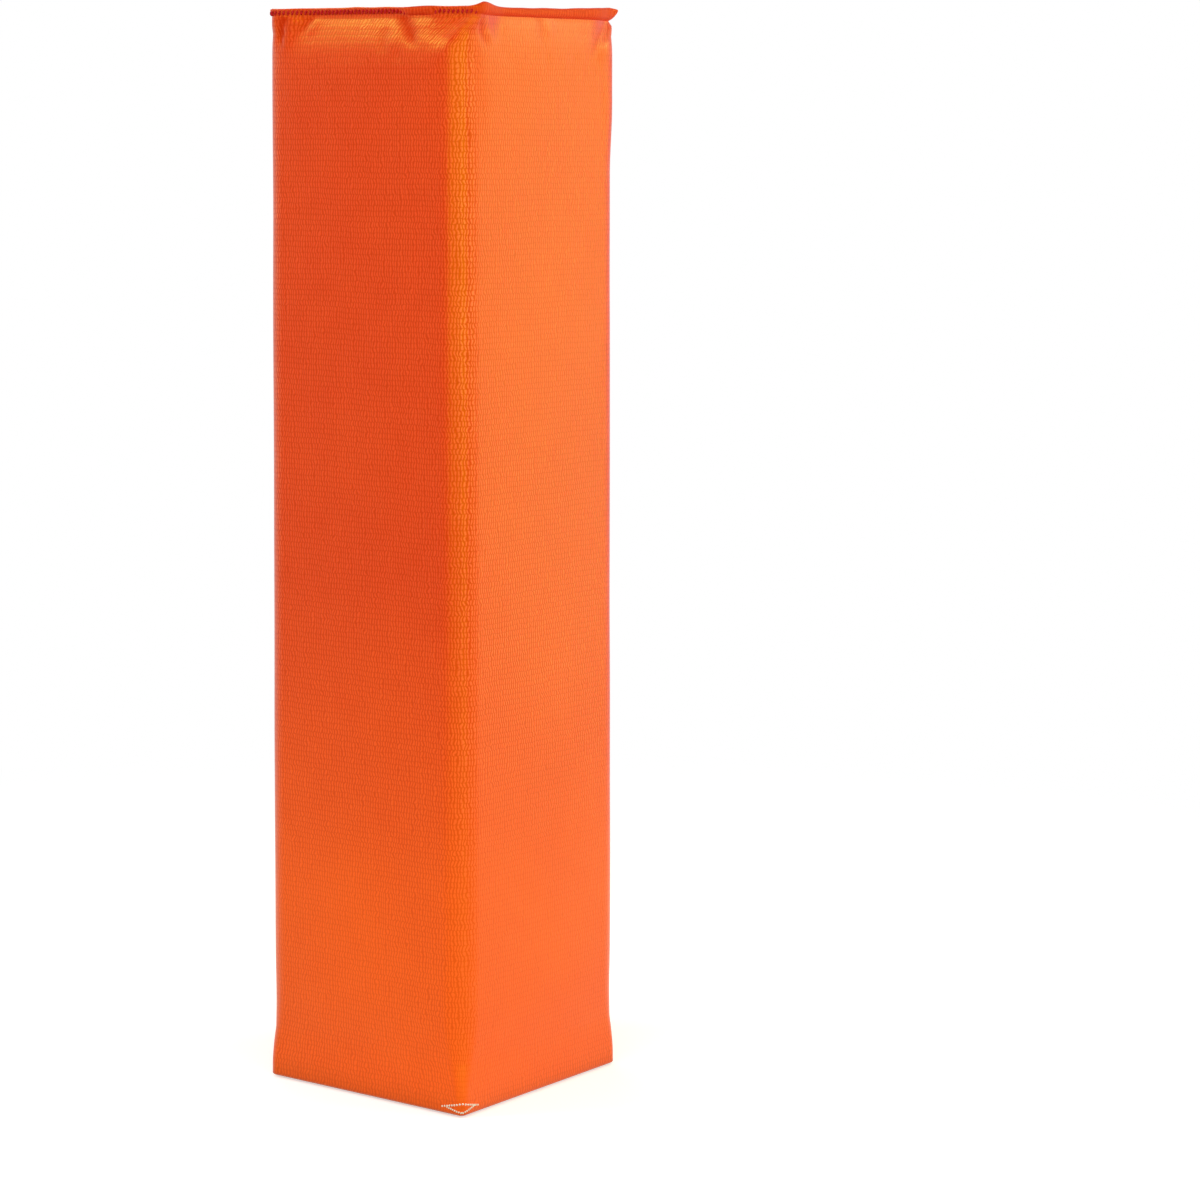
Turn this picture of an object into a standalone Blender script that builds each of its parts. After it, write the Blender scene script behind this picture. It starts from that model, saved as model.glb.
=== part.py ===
"""Football end zone pylon: a sewn, coated-fabric cover over a foam core, weighted by a sand bag in its base.

Metres, +Z up. The origin is the middle of the base. The wall that faces -Y and the wall that faces +X
are the two that show in front, with the fold between them. The +X wall runs on below as the closure
flap, whose hemmed lip crosses the middle of the base. The -X wall runs on as the inner flap, which
passes over that lip inside the pylon. The walls that face -Y and +Y are sewn to both flaps.
"""

import math

import bmesh
import bpy

# Cover
HEIGHT = 0.4572
BASE_SIDE = 0.1080
TOP_SIDE = 0.1050
FABRIC = 0.0007
WALL_CROWN = 0.0012
CORNER_RADIUS = 0.0070
BASE_TIP_RADIUS = 0.0038
BASE_FOLD_RADIUS = 0.0035
FOLD_END_RADIUS = 0.0006
BASE_EASE = 0.0220

# Top seam: the walls draw in to a crease, and the two cloths sewn there stand out past it as a welt
TOP_DRAW = 0.0022
TOP_EASE = 0.0300
TOP_TIP_RADIUS = 0.0040
WELT = 0.0034
WELT_ANGLE = math.radians(45)
WELT_TIP_RADIUS = 0.0015
PANEL_CROWN = 0.0018

# Base flaps
SLIT_SLANT = 0.0031
STEP_RUN = 0.0018
FLAP_OVERLAP = 0.0240
HEM_WIDTH = 0.0060
STITCH_INSET = 0.0028

# Sewing thread
THREAD = 0.0004
SEAM_THREAD_INSET = 0.0008

# Foam core
FOAM_CORNER_RADIUS = 0.0085
FOAM_TOP_ROUND = 0.0030

# Ballast
BAG_SLACK = 0.0060
BAG_HEIGHT = 0.0460
BAG_EDGE_ROUND = 0.0130
BAG_CORNER_RADIUS = 0.0140
BAG_FABRIC = 0.0006
BAG_FLANGE = 0.0035

# Fit
CLEARANCE = 0.0003

# How finely the round shapes are divided, and the bend from which an edge is drawn sharp
FACE_STEPS = 4
CORNER_STEPS = 3
FOLD_STEPS = 3
SHARP_ANGLE = math.radians(40)
TOP_LEVEL_SHARES = (0.0, 0.2, 0.5, 1.0)
WALL_LEVEL_SHARES = (0.78, 0.64, 0.50, 0.36, 0.20)
BASE_LEVEL_SHARES = (1.0, 0.5, 0.0)
PANEL_RING_SHARES = (0.75, 0.50, 0.25)
STEP_SHARES = ((0.0, 0.0), (0.3, 0.2), (0.7, 0.8), (1.0, 1.0))

# Colours in linear light, with their roughness
ORANGE = (0.78, 0.105, 0.018, 1.0)
THREAD_RED = (0.30, 0.020, 0.012, 1.0)
FOAM_CREAM = (0.72, 0.66, 0.48, 1.0)
BAG_GREY = (0.32, 0.32, 0.30, 1.0)
SAND_TAN = (0.52, 0.40, 0.24, 1.0)
ORANGE_ROUGHNESS = 0.42
THREAD_ROUGHNESS = 0.70
DULL_ROUGHNESS = 0.95

# Sizes that follow from the ones above
LINING_INSET = FABRIC + CLEARANCE
WELT_OUT = WELT * math.cos(WELT_ANGLE)
WELT_UP = WELT * math.sin(WELT_ANGLE)
CREASE_Z = HEIGHT - WELT_UP - (2 * FABRIC + CLEARANCE) * math.cos(WELT_ANGLE)
PANEL_Z = CREASE_Z + LINING_INSET * math.tan((math.pi / 2 - WELT_ANGLE) / 2)
STEP_RISE = 2 * FABRIC + 2 * CLEARANCE + THREAD
BASE_HALF = BASE_SIDE / 2 - BASE_FOLD_RADIUS
BAG_BOTTOM = STEP_RISE + FABRIC + CLEARANCE
BAG_HALF = BASE_SIDE / 2 - BAG_SLACK
BAG_MIDDLE = BAG_BOTTOM + BAG_HEIGHT / 2
FOAM_BOTTOM = BAG_BOTTOM + BAG_HEIGHT + CLEARANCE


def clear_scene():
    for old in list(bpy.data.objects):
        bpy.data.objects.remove(old, do_unlink=True)


def material(name, colour, roughness):
    made = bpy.data.materials.new(name)
    made.use_nodes = True
    shader = made.node_tree.nodes["Principled BSDF"]
    shader.inputs["Base Color"].default_value = colour
    shader.inputs["Roughness"].default_value = roughness
    shader.inputs["Metallic"].default_value = 0.0
    made.diffuse_color = colour
    return made


def collection(name):
    made = bpy.data.collections.new(name)
    bpy.context.scene.collection.children.link(made)
    return made


def mix(low, high, share):
    return low + (high - low) * share


def outline(half, radius, crown=0.0, slant=0.0):
    """One turn round a rounded square, counter-clockwise from the left end of the side that faces -Y.

    crown bows each side outward. slant moves the middle point of the -Y side towards +X, and that of
    the +Y side towards -X, so that the points meet the ends of the slanted slit.
    """
    points = []
    for turn in range(4):
        angle = turn * math.pi / 2
        run = half - radius
        for step in range(FACE_STEPS):
            share = mix(-1, 1, step / FACE_STEPS)
            along = share * run
            if step * 2 == FACE_STEPS and turn % 2 == 0:
                along = slant
            out = half + crown * (1 - share * share)
            points.append((
                along * math.cos(angle) + out * math.sin(angle),
                along * math.sin(angle) - out * math.cos(angle),
            ))
        for step in range(CORNER_STEPS):
            sweep = angle - math.pi / 2 + math.pi / 2 * step / CORNER_STEPS
            centre_x = run * (math.cos(angle) + math.sin(angle))
            centre_y = run * (math.sin(angle) - math.cos(angle))
            points.append((
                centre_x + radius * math.cos(sweep),
                centre_y + radius * math.sin(sweep),
            ))
    return points


def wall_half(z):
    """Half the pylon's side at a height, which widens evenly towards the weighted base."""
    return mix(BASE_SIDE, TOP_SIDE, z / HEIGHT) / 2


def wall_section(z, inset=0.0, radius=None):
    """The walls' outline at a height, moved inward by inset: crowned in between, drawn in at both ends."""
    base_share = min(1.0, max(0.0, z - BASE_FOLD_RADIUS) / BASE_EASE)
    top_share = min(1.0, max(0.0, CREASE_Z - z) / TOP_EASE)
    if radius is None:
        base_radius = mix(BASE_TIP_RADIUS, CORNER_RADIUS, base_share)
        top_radius = mix(TOP_TIP_RADIUS, CORNER_RADIUS, top_share)
        radius = min(base_radius, top_radius)
    half = wall_half(z) - TOP_DRAW * (1 - top_share) ** 2 - inset
    return outline(half, radius, WALL_CROWN * min(base_share, top_share), SLIT_SLANT)


def loft(mesh, sections):
    """Rings through (outline, height) pairs, joined by quads that face out when the first is the upper one."""
    rings = [[mesh.verts.new((x, y, z)) for x, y in points] for points, z in sections]
    for upper, lower in zip(rings, rings[1:]):
        for i in range(len(upper)):
            j = (i + 1) % len(upper)
            mesh.faces.new((upper[i], lower[i], lower[j], upper[j]))
    return rings


def fan(mesh, loop, tip):
    for i, corner in enumerate(loop):
        mesh.faces.new((corner, loop[(i + 1) % len(loop)], tip))


def add_object(name, mesh, home, finish, smooth=True):
    data = bpy.data.meshes.new(name)
    mesh.to_mesh(data)
    mesh.free()
    data.materials.append(finish)
    if smooth:
        data.shade_smooth()
        data.set_sharp_from_angle(angle=SHARP_ANGLE)
    made = bpy.data.objects.new(name, data)
    home.objects.link(made)
    return made


def thicken(obj, thickness):
    """Gives an open surface its cloth thickness, on the side that its normals face away from."""
    solidify = obj.modifiers.new("cloth thickness", "SOLIDIFY")
    solidify.thickness = thickness
    solidify.offset = -1.0
    solidify.use_even_offset = True


def thread_object(name, points, home, finish, closed=False):
    curve = bpy.data.curves.new(name, "CURVE")
    curve.dimensions = "3D"
    curve.bevel_depth = THREAD / 2
    curve.bevel_resolution = 1
    curve.use_fill_caps = not closed
    spline = curve.splines.new("POLY")
    spline.points.add(len(points) - 1)
    for place, (x, y, z) in zip(spline.points, points):
        place.co = (x, y, z, 1.0)
    spline.use_cyclic_u = closed
    curve.materials.append(finish)
    made = bpy.data.objects.new(name, curve)
    home.objects.link(made)
    return made


def slit_x(y):
    """Where the visible edge of the inner flap ends, along the slanted slit."""
    return -SLIT_SLANT * y / BASE_HALF


def wall_levels():
    """Heights of the walls' rings, from the crease under the welt down to where the base fold starts."""
    upper = [CREASE_Z - TOP_EASE * share for share in TOP_LEVEL_SHARES]
    middle = [HEIGHT * share for share in WALL_LEVEL_SHARES]
    lower = [BASE_FOLD_RADIUS + BASE_EASE * share for share in BASE_LEVEL_SHARES]
    return upper + middle + lower


def crease_half():
    return wall_half(CREASE_Z) - TOP_DRAW


def cover_wrap(home, finish):
    """Four walls in one piece, folded under all round, with the inner flap running on from the -X wall."""
    mesh = bmesh.new()
    welt = outline(crease_half() + WELT_OUT, WELT_TIP_RADIUS, slant=SLIT_SLANT)
    sections = [(welt, CREASE_Z + WELT_UP)]
    sections += [(wall_section(z), z) for z in wall_levels()]
    for step in range(1, FOLD_STEPS + 1):
        angle = math.pi / 2 * step / FOLD_STEPS
        half = BASE_SIDE / 2 - BASE_FOLD_RADIUS * (1 - math.cos(angle))
        radius = mix(BASE_TIP_RADIUS, FOLD_END_RADIUS, step / FOLD_STEPS)
        sections.append((outline(half, radius, slant=SLIT_SLANT), BASE_FOLD_RADIUS * (1 - math.sin(angle))))
    edge = loft(mesh, sections)[-1]

    # The inner flap: flat from the -X wall to the slit, then up a small step and over the closure flap.
    start = FACE_STEPS // 2
    flat = (edge + edge)[start + len(edge) // 2 : start + len(edge) + 1]
    side = BASE_HALF - CLEARANCE
    rows = []
    for run_share, rise_share in STEP_SHARES:
        rows.append([(slit_x(y) + run_share * STEP_RUN, y, rise_share * STEP_RISE) for y in (side, -side)])
    rows.append([(FLAP_OVERLAP, y, STEP_RISE) for y in (side, -side)])
    placed = [[mesh.verts.new(point) for point in row] for row in rows]
    mesh.faces.new(placed[0] + flat[::-1])
    for near, far in zip(placed, placed[1:]):
        mesh.faces.new((near[0], far[0], far[1], near[1]))
    made = add_object("cover_wrap", mesh, home, finish)
    thicken(made, FABRIC)
    return made


def closure_flap(home, finish, hinge):
    """The outer base flap: flat, with its lip turned in twice as a hem. It hangs on the hinge line."""
    side = BASE_HALF - CLEARANCE
    mesh = bmesh.new()
    ends = []
    for y in (side, -side):
        lip_x = slit_x(y) + STEP_RUN + CLEARANCE
        profile = (
            (hinge.location.x, 0),
            (lip_x, 0),
            (lip_x, 2 * FABRIC),
            (lip_x + HEM_WIDTH, 2 * FABRIC),
            (lip_x + HEM_WIDTH, FABRIC),
            (hinge.location.x, FABRIC),
        )
        ends.append([mesh.verts.new((x - hinge.location.x, y, z)) for x, z in profile])
    for i, corner in enumerate(ends[0]):
        j = i - 1
        mesh.faces.new((corner, ends[0][j], ends[1][j], ends[1][i]))
    mesh.faces.new(ends[0])
    mesh.faces.new(ends[1][::-1])
    bmesh.ops.recalc_face_normals(mesh, faces=mesh.faces)
    made = add_object("closure_flap", mesh, home, finish, smooth=False)
    made.parent = hinge
    return made


def top_panel(home, finish):
    """The crowned top square, its edge turned up along the welt. The surface is its underside."""
    mesh = bmesh.new()
    tip_half = crease_half() + WELT_OUT - LINING_INSET * math.sin(WELT_ANGLE)
    tip_z = CREASE_Z + WELT_UP + LINING_INSET * math.cos(WELT_ANGLE)
    flat_half = crease_half() - LINING_INSET
    sections = [
        (outline(tip_half, WELT_TIP_RADIUS), tip_z),
        (outline(flat_half, TOP_TIP_RADIUS), PANEL_Z),
    ]
    for share in PANEL_RING_SHARES:
        sections.append((outline(flat_half * share, TOP_TIP_RADIUS * share), panel_z(share)))
    rings = loft(mesh, sections)
    fan(mesh, rings[-1][::-1], mesh.verts.new((0, 0, panel_z(0))))
    made = add_object("top_panel", mesh, home, finish)
    thicken(made, FABRIC)
    return made


def panel_z(share):
    """Height of the top panel's underside, at a share of the way out from its middle."""
    return PANEL_Z + PANEL_CROWN * (1 - share * share)


def foam_core(home, finish):
    """One upright block of foam, from the top of the ballast to the underside of the top panel."""
    mesh = bmesh.new()
    panel_half = crease_half() - LINING_INSET
    top_z = PANEL_Z - CLEARANCE
    sections = []
    for share in reversed(PANEL_RING_SHARES):
        points = outline(panel_half * share, FOAM_CORNER_RADIUS * share)
        sections.append((points, panel_z(share) - CLEARANCE))
    for step in range(FOLD_STEPS + 1):
        angle = math.pi / 2 * step / FOLD_STEPS
        half = panel_half - FOAM_TOP_ROUND * (1 - math.sin(angle))
        sections.append((outline(half, FOAM_CORNER_RADIUS), top_z - FOAM_TOP_ROUND * (1 - math.cos(angle))))
    for z in wall_levels():
        if FOAM_BOTTOM < z < top_z - FOAM_TOP_ROUND:
            sections.append((wall_section(z, LINING_INSET, FOAM_CORNER_RADIUS), z))
    sections.append((wall_section(FOAM_BOTTOM, LINING_INSET, FOAM_CORNER_RADIUS), FOAM_BOTTOM))
    rings = loft(mesh, sections)
    fan(mesh, rings[0], mesh.verts.new((0, 0, panel_z(0) - CLEARANCE)))
    mesh.faces.new(rings[-1][::-1])
    return add_object("foam_core", mesh, home, finish)


def pouch_sections(inset, up):
    """Outlines of half a filled pouch, from its widest level to its flat face, above the seam or below."""
    sections = []
    for step in range(FOLD_STEPS + 1):
        angle = math.pi / 2 * step / FOLD_STEPS
        half = BAG_HALF - inset - BAG_EDGE_ROUND * (1 - math.cos(angle))
        z = BAG_MIDDLE + up * (BAG_HEIGHT / 2 - inset) * math.sin(angle)
        sections.append((outline(half, BAG_CORNER_RADIUS - inset), z))
    return sections


def bag_half(name, up, home, finish):
    """One of the two cloths of the ballast pouch: domed, with the flange where the two are sewn."""
    mesh = bmesh.new()
    dome = pouch_sections(0.0, up)
    seam_z = BAG_MIDDLE + up * (CLEARANCE / 2 + BAG_FABRIC)
    flange = outline(BAG_HALF + BAG_FLANGE, BAG_CORNER_RADIUS + BAG_FLANGE)
    sections = [(flange, seam_z), (dome[0][0], seam_z)] + dome[1:]
    if up > 0:
        rings = loft(mesh, sections[::-1])
        mesh.faces.new(rings[0])
    else:
        rings = loft(mesh, sections)
        mesh.faces.new(rings[-1][::-1])
    made = add_object(name, mesh, home, finish)
    thicken(made, BAG_FABRIC)
    return made


def ballast_fill(home, finish):
    """The sand, as the shape that fills the pouch."""
    mesh = bmesh.new()
    inset = BAG_FABRIC + CLEARANCE
    rings = loft(mesh, pouch_sections(inset, 1)[::-1] + pouch_sections(inset, -1)[1:])
    mesh.faces.new(rings[0])
    mesh.faces.new(rings[-1][::-1])
    return add_object("ballast_fill", mesh, home, finish)


def threads(home, finish, hinge):
    """The sewing lines, each as one unbroken thread that lies on the cloth."""
    lift = CLEARANCE + THREAD / 2
    groove_z = CREASE_Z - CLEARANCE
    loop = [(x, y, groove_z) for x, y in outline(crease_half() + lift + CLEARANCE, TOP_TIP_RADIUS)]
    thread_object("top_seam_thread", loop, home, finish, closed=True)

    inner_radius = BASE_FOLD_RADIUS - FABRIC
    seam_y = BASE_HALF + SEAM_THREAD_INSET
    sink = math.sqrt(inner_radius**2 - SEAM_THREAD_INSET**2)
    seam_z = BASE_FOLD_RADIUS - sink + lift
    reach = BASE_HALF - BASE_TIP_RADIUS
    for name, side in (("base_seam_thread_front", -1), ("base_seam_thread_back", 1)):
        thread_object(name, [(x, side * seam_y, seam_z) for x in (-reach, reach)], home, finish)

    ends = (BASE_HALF - STITCH_INSET, STITCH_INSET - BASE_HALF)
    lip_inset = STEP_RUN + CLEARANCE + STITCH_INSET
    hem = [(slit_x(y) + lip_inset - hinge.location.x, y, 2 * FABRIC + lift) for y in ends]
    thread_object("closure_hem_thread", hem, home, finish).parent = hinge
    inner = [(FLAP_OVERLAP - STITCH_INSET, y, STEP_RISE - lift) for y in ends]
    thread_object("inner_flap_hem_thread", inner, home, finish)

    # Inside the rear fold, halfway between the cover and the rounder corner of the foam.
    diagonal = math.sqrt(0.5)
    cover_corner = CORNER_RADIUS - (CORNER_RADIUS - FABRIC) * diagonal
    foam_corner = FABRIC + CLEARANCE + FOAM_CORNER_RADIUS * (1 - diagonal)
    depth = (cover_corner + foam_corner) / 2
    upright = []
    for z in (BASE_FOLD_RADIUS + BASE_EASE, HEIGHT - TOP_EASE):
        upright.append((depth - wall_half(z), wall_half(z) - depth, z))
    thread_object("wrap_seam_thread", upright, home, finish)

    flange = BAG_HALF + BAG_FLANGE / 2
    flange_z = BAG_MIDDLE + CLEARANCE / 2 + BAG_FABRIC + lift
    around = [(x, y, flange_z) for x, y in outline(flange, BAG_CORNER_RADIUS + BAG_FLANGE / 2)]
    thread_object("ballast_bag_thread", around, home, finish, closed=True)


def build():
    clear_scene()
    home = collection("end_zone_pylon")
    orange = material("coated fabric", ORANGE, ORANGE_ROUGHNESS)
    flap_orange = material("closure flap fabric", ORANGE, ORANGE_ROUGHNESS)
    top_orange = material("top panel fabric", ORANGE, ORANGE_ROUGHNESS)
    red = material("sewing thread", THREAD_RED, THREAD_ROUGHNESS)
    cream = material("foam", FOAM_CREAM, DULL_ROUGHNESS)
    grey = material("ballast cloth", BAG_GREY, DULL_ROUGHNESS)
    tan = material("sand", SAND_TAN, DULL_ROUGHNESS)

    hinge = bpy.data.objects.new("closure_flap_hinge", None)
    hinge.location = (BASE_HALF - CLEARANCE, 0, 0)
    home.objects.link(hinge)

    cover_wrap(home, orange)
    closure_flap(home, flap_orange, hinge)
    top_panel(home, top_orange)
    foam_core(home, cream)
    bag_half("ballast_bag_upper", 1, home, grey)
    bag_half("ballast_bag_lower", -1, home, grey)
    ballast_fill(home, tan)
    threads(home, red, hinge)


build()
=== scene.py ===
# %% [markdown]
# A football end zone pylon is a tall square post of foam in a sewn cover of bright orange coated cloth.
# A pouch of sand in its base keeps it upright, behind a pocket in the base whose two flaps lap over each
# other. This lesson dresses the plain model of that pylon: each cloth is made as a mesh that bends where
# the real one bends, every stitch is a small piece of thread, and the finishes are worked out by nodes.
# Everything is in metres, with +Z up and the origin at the middle of the base.

# %% Load the fixed frame
import math

import bmesh
import bpy
import numpy as np
from mathutils import Matrix, Vector, noise


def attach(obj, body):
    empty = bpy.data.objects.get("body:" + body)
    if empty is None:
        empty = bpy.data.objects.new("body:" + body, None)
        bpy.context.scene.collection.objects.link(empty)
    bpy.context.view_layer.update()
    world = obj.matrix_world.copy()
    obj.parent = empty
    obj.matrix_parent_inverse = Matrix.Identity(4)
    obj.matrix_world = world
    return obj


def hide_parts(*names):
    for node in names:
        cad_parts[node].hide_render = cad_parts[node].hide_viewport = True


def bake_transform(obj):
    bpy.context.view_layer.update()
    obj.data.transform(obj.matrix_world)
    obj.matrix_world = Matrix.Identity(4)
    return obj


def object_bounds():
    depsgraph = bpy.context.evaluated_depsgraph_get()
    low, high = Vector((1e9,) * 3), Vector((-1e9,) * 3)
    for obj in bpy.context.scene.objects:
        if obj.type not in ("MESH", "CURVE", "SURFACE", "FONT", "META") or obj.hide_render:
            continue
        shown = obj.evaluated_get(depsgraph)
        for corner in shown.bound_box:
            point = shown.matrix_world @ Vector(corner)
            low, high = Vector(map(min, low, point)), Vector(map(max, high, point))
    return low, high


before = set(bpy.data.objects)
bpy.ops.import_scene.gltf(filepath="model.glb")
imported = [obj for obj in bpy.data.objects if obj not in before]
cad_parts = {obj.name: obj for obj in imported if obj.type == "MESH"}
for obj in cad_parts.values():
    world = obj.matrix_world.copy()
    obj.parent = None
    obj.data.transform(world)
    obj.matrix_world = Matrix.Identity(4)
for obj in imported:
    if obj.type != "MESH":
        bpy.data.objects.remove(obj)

cad_low, cad_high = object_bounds()
print("solid model:", [round(1000 * size, 1) for size in cad_high - cad_low], "mm")

# %% [markdown]
# The photograph was taken with a long lens, a little above the middle of the pylon and turned so that two
# walls show. The camera's place follows from the corners and folds of the pylon, whose height is known:
# it stands about a metre and a half away and looks down by eight degrees. Blender builds a camera's
# rotation from its own right, up and back directions, so those are worked out first.

# %% Camera
CAMERA_AZIMUTH = math.radians(39.27)
CAMERA_DISTANCE = 1.470
CAMERA_HEIGHT = 0.414
LOOK_AZIMUTH = math.radians(36.641)
LOOK_DOWN = math.radians(7.993)
LOOK_ROLL = math.radians(0.26)
LENS_MM = 103.5


def make_camera():
    data = bpy.data.cameras.new("camera")
    data.lens = LENS_MM
    camera = bpy.data.objects.new("camera", data)
    bpy.context.scene.collection.objects.link(camera)
    sine, cosine = math.sin(LOOK_AZIMUTH), math.cos(LOOK_AZIMUTH)
    forward = Vector((-sine * math.cos(LOOK_DOWN), cosine * math.cos(LOOK_DOWN), -math.sin(LOOK_DOWN)))
    level = Vector((cosine, sine, 0))
    upward = level.cross(forward)
    right = level * math.cos(LOOK_ROLL) + upward * math.sin(LOOK_ROLL)
    rotation = np.array([right, right.cross(forward), -forward]).T
    camera.matrix_world = Matrix([
        [*rotation[0], CAMERA_DISTANCE * math.sin(CAMERA_AZIMUTH)],
        [*rotation[1], -CAMERA_DISTANCE * math.cos(CAMERA_AZIMUTH)],
        [*rotation[2], CAMERA_HEIGHT],
        [0, 0, 0, 1],
    ])
    bpy.context.scene.camera = camera
    return camera


camera = make_camera()
print("camera at", [round(value, 3) for value in camera.location])

# %% [markdown]
# Shader nodes do sums, but a tree of Math nodes is hard to read. The class Value wraps a node's output, so
# that Python's own + - * / add the Math nodes. Any other node comes from the one method node of the class
# Nodes: its settings are put in first, and then its sockets. A Finish is a material with one Principled
# shader, and what is the same all over it is set on the shader itself.

# %% Sums of shader values, and finishes
class Value:
    """A number that varies over a surface: the output of a node, which Python's operators can work on."""

    def __init__(self, nodes, socket):
        self.nodes = nodes
        self.socket = socket

    def math(self, operation, *others):
        return self.nodes.node("ShaderNodeMath", {"operation": operation}, [self, *others])

    def __add__(self, other):
        return self.math("ADD", other)

    def __sub__(self, other):
        return self.math("SUBTRACT", other)

    def __mul__(self, other):
        return self.math("MULTIPLY", other)

    def __truediv__(self, other):
        return self.math("DIVIDE", other)

    def __rsub__(self, other):
        return self.nodes.node("ShaderNodeMath", {"operation": "SUBTRACT"}, [other, self])

    __radd__ = __add__
    __rmul__ = __mul__

    def between(self, low, high):
        """0 where the value is below low, 1 where it is above high, and a smooth rise from one to the other."""
        sockets = {"From Min": low, "From Max": high, "Value": self}
        return self.nodes.node("ShaderNodeMapRange", {"interpolation_type": "SMOOTHSTEP"}, sockets, "Result")


class Nodes:
    """The tree of shader nodes of a material or a world."""

    def __init__(self, owner):
        owner.use_nodes = True
        self.tree = owner.node_tree

    def node(self, kind, settings=None, sockets=(), output=0):
        """Adds a node and gives one of its outputs. A socket gets a number, a colour or a Value."""
        made = self.tree.nodes.new(kind)
        for name, value in (settings or {}).items():
            setattr(made, name, value)
        pairs = sockets.items() if isinstance(sockets, dict) else enumerate(sockets)
        for key, value in pairs:
            if isinstance(value, Value):
                self.tree.links.new(value.socket, made.inputs[key])
            else:
                made.inputs[key].default_value = value
        return Value(self, made.outputs[output])

    def link(self, value, name, label):
        """Feeds a socket of a node that the tree has from the start."""
        self.tree.links.new(value.socket, self.tree.nodes[name].inputs[label])


class Finish(Nodes):
    """A material with one Principled shader, whose constants are set on the shader itself."""

    def __init__(self, name, **constants):
        self.material = bpy.data.materials.new(name)
        super().__init__(self.material)
        self.shader = self.tree.nodes["Principled BSDF"]
        for label, value in constants.items():
            self.shader.inputs[label.replace("_", " ").title().replace("Ior", "IOR")].default_value = value

    def mix(self, share, first, second):
        """A colour between two colours. Each is four numbers or a Value."""
        sockets = {0: share, 6: first, 7: second}
        return self.node("ShaderNodeMix", {"data_type": "RGBA"}, sockets, 2)

    def noise(self, where, pitch, detail=2.0):
        """Clouds between 0 and 1, about a pitch apart."""
        sockets = {"Vector": where, "Scale": 1 / pitch, "Detail": detail, "Roughness": 0.5}
        return self.node("ShaderNodeTexNoise", {}, sockets, "Fac")

    def feed(self, label, value):
        self.link(value, "Principled BSDF", label)

    def raise_surface(self, height, distance):
        """Lights the surface as if it stood out by height times distance."""
        sockets = {"Height": height, "Distance": distance, "Strength": 1.0}
        self.feed("Normal", self.node("ShaderNodeBump", {}, sockets, "Normal"))


print("shader helpers ready")

# %% [markdown]
# The floor is a plain pale studio sweep. Its white comes from its own colour: for the camera it glows just
# enough to reach white where nothing shades it, so that the soft shadow of the pylon stays. Further out it
# runs into the white background. From below it can be looked through, so that the base can be seen, and
# light from below reaches what stands within a few millimetres of it.

# %% Floor and background
FLOOR_SIZE = 40.0
FLOOR_DROP = 0.0004
FLOOR_COLOUR = (0.80, 0.80, 0.80, 1)
FLOOR_LIFT = 0.50
SHADOW_REACH = (0.30, 0.75)
CONTACT_REACH = 0.012
WORLD_STRENGTH = 0.22
WHITE = (1, 1, 1, 1)


def seen_rays(nodes):
    """1 for the rays that carry a picture: to the camera, off a gloss or through glass."""
    camera_ray, glossy_ray, transmission_ray = (
        nodes.node("ShaderNodeLightPath", output=name) for name in
        ("Is Camera Ray", "Is Glossy Ray", "Is Transmission Ray"))
    return camera_ray.math("MAXIMUM", glossy_ray).math("MAXIMUM", transmission_ray)


def make_floor():
    bpy.ops.mesh.primitive_plane_add(size=FLOOR_SIZE, location=(0, 0, -FLOOR_DROP))
    floor = bpy.context.object
    floor.name = "floor"
    finish = Finish("studio floor", base_color=FLOOR_COLOUR, roughness=1.0, specular_ior_level=0.0)
    plain = Value(finish, finish.shader.outputs[0])
    lift = finish.node("ShaderNodeEmission", {}, {"Strength": FLOOR_LIFT})
    lit = finish.node("ShaderNodeAddShader", {}, [plain, lift])
    white = finish.node("ShaderNodeEmission")
    where = finish.node("ShaderNodeNewGeometry", output="Position")
    away = finish.node("ShaderNodeVectorMath", {"operation": "LENGTH"}, [where], "Value")
    for_eye = finish.node("ShaderNodeMixShader", {}, [away.between(*SHADOW_REACH), lit, white])
    for_all = finish.node("ShaderNodeMixShader", {}, [seen_rays(finish), plain, for_eye])

    below = finish.node("ShaderNodeNewGeometry", output="Backfacing")
    near = 1 - finish.node("ShaderNodeLightPath", output="Ray Length").math("GREATER_THAN", CONTACT_REACH)
    unseen = 1 - finish.node("ShaderNodeLightPath", output="Is Camera Ray")
    through = finish.node("ShaderNodeBsdfTransparent")
    final = finish.node("ShaderNodeMixShader", {}, [below.math("MAXIMUM", near * unseen), for_all, through])
    finish.link(final, "Material Output", "Surface")
    floor.data.materials.append(finish.material)


def make_world():
    world = bpy.data.worlds.new("studio")
    nodes = Nodes(world)
    levels = {"To Min": WORLD_STRENGTH, "To Max": 1.0, "Value": seen_rays(nodes)}
    nodes.link(nodes.node("ShaderNodeMapRange", {}, levels, "Result"), "Background", "Strength")
    nodes.tree.nodes["Background"].inputs["Color"].default_value = WHITE
    bpy.context.scene.world = world


make_floor()
make_world()
bpy.context.scene.view_settings.view_transform = "Standard"
print("floor and world made")

# %% [markdown]
# Large soft lamps light the pylon. The right lamp stands low behind it, where its reflection spreads over the
# whole right wall and gives that wall its paler sheen, and the small high lamp goes on with that above. The
# edge lamp and the side lamp stand further round and gleam on the front corner. The front lamp lights the
# left wall, and the left lamp hangs high, so that it gleams only on the shoulder under the top seam. The
# rear lamp is for the walls at the back, and the overhead lamp for the top. The camera sees none of them.

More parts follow.
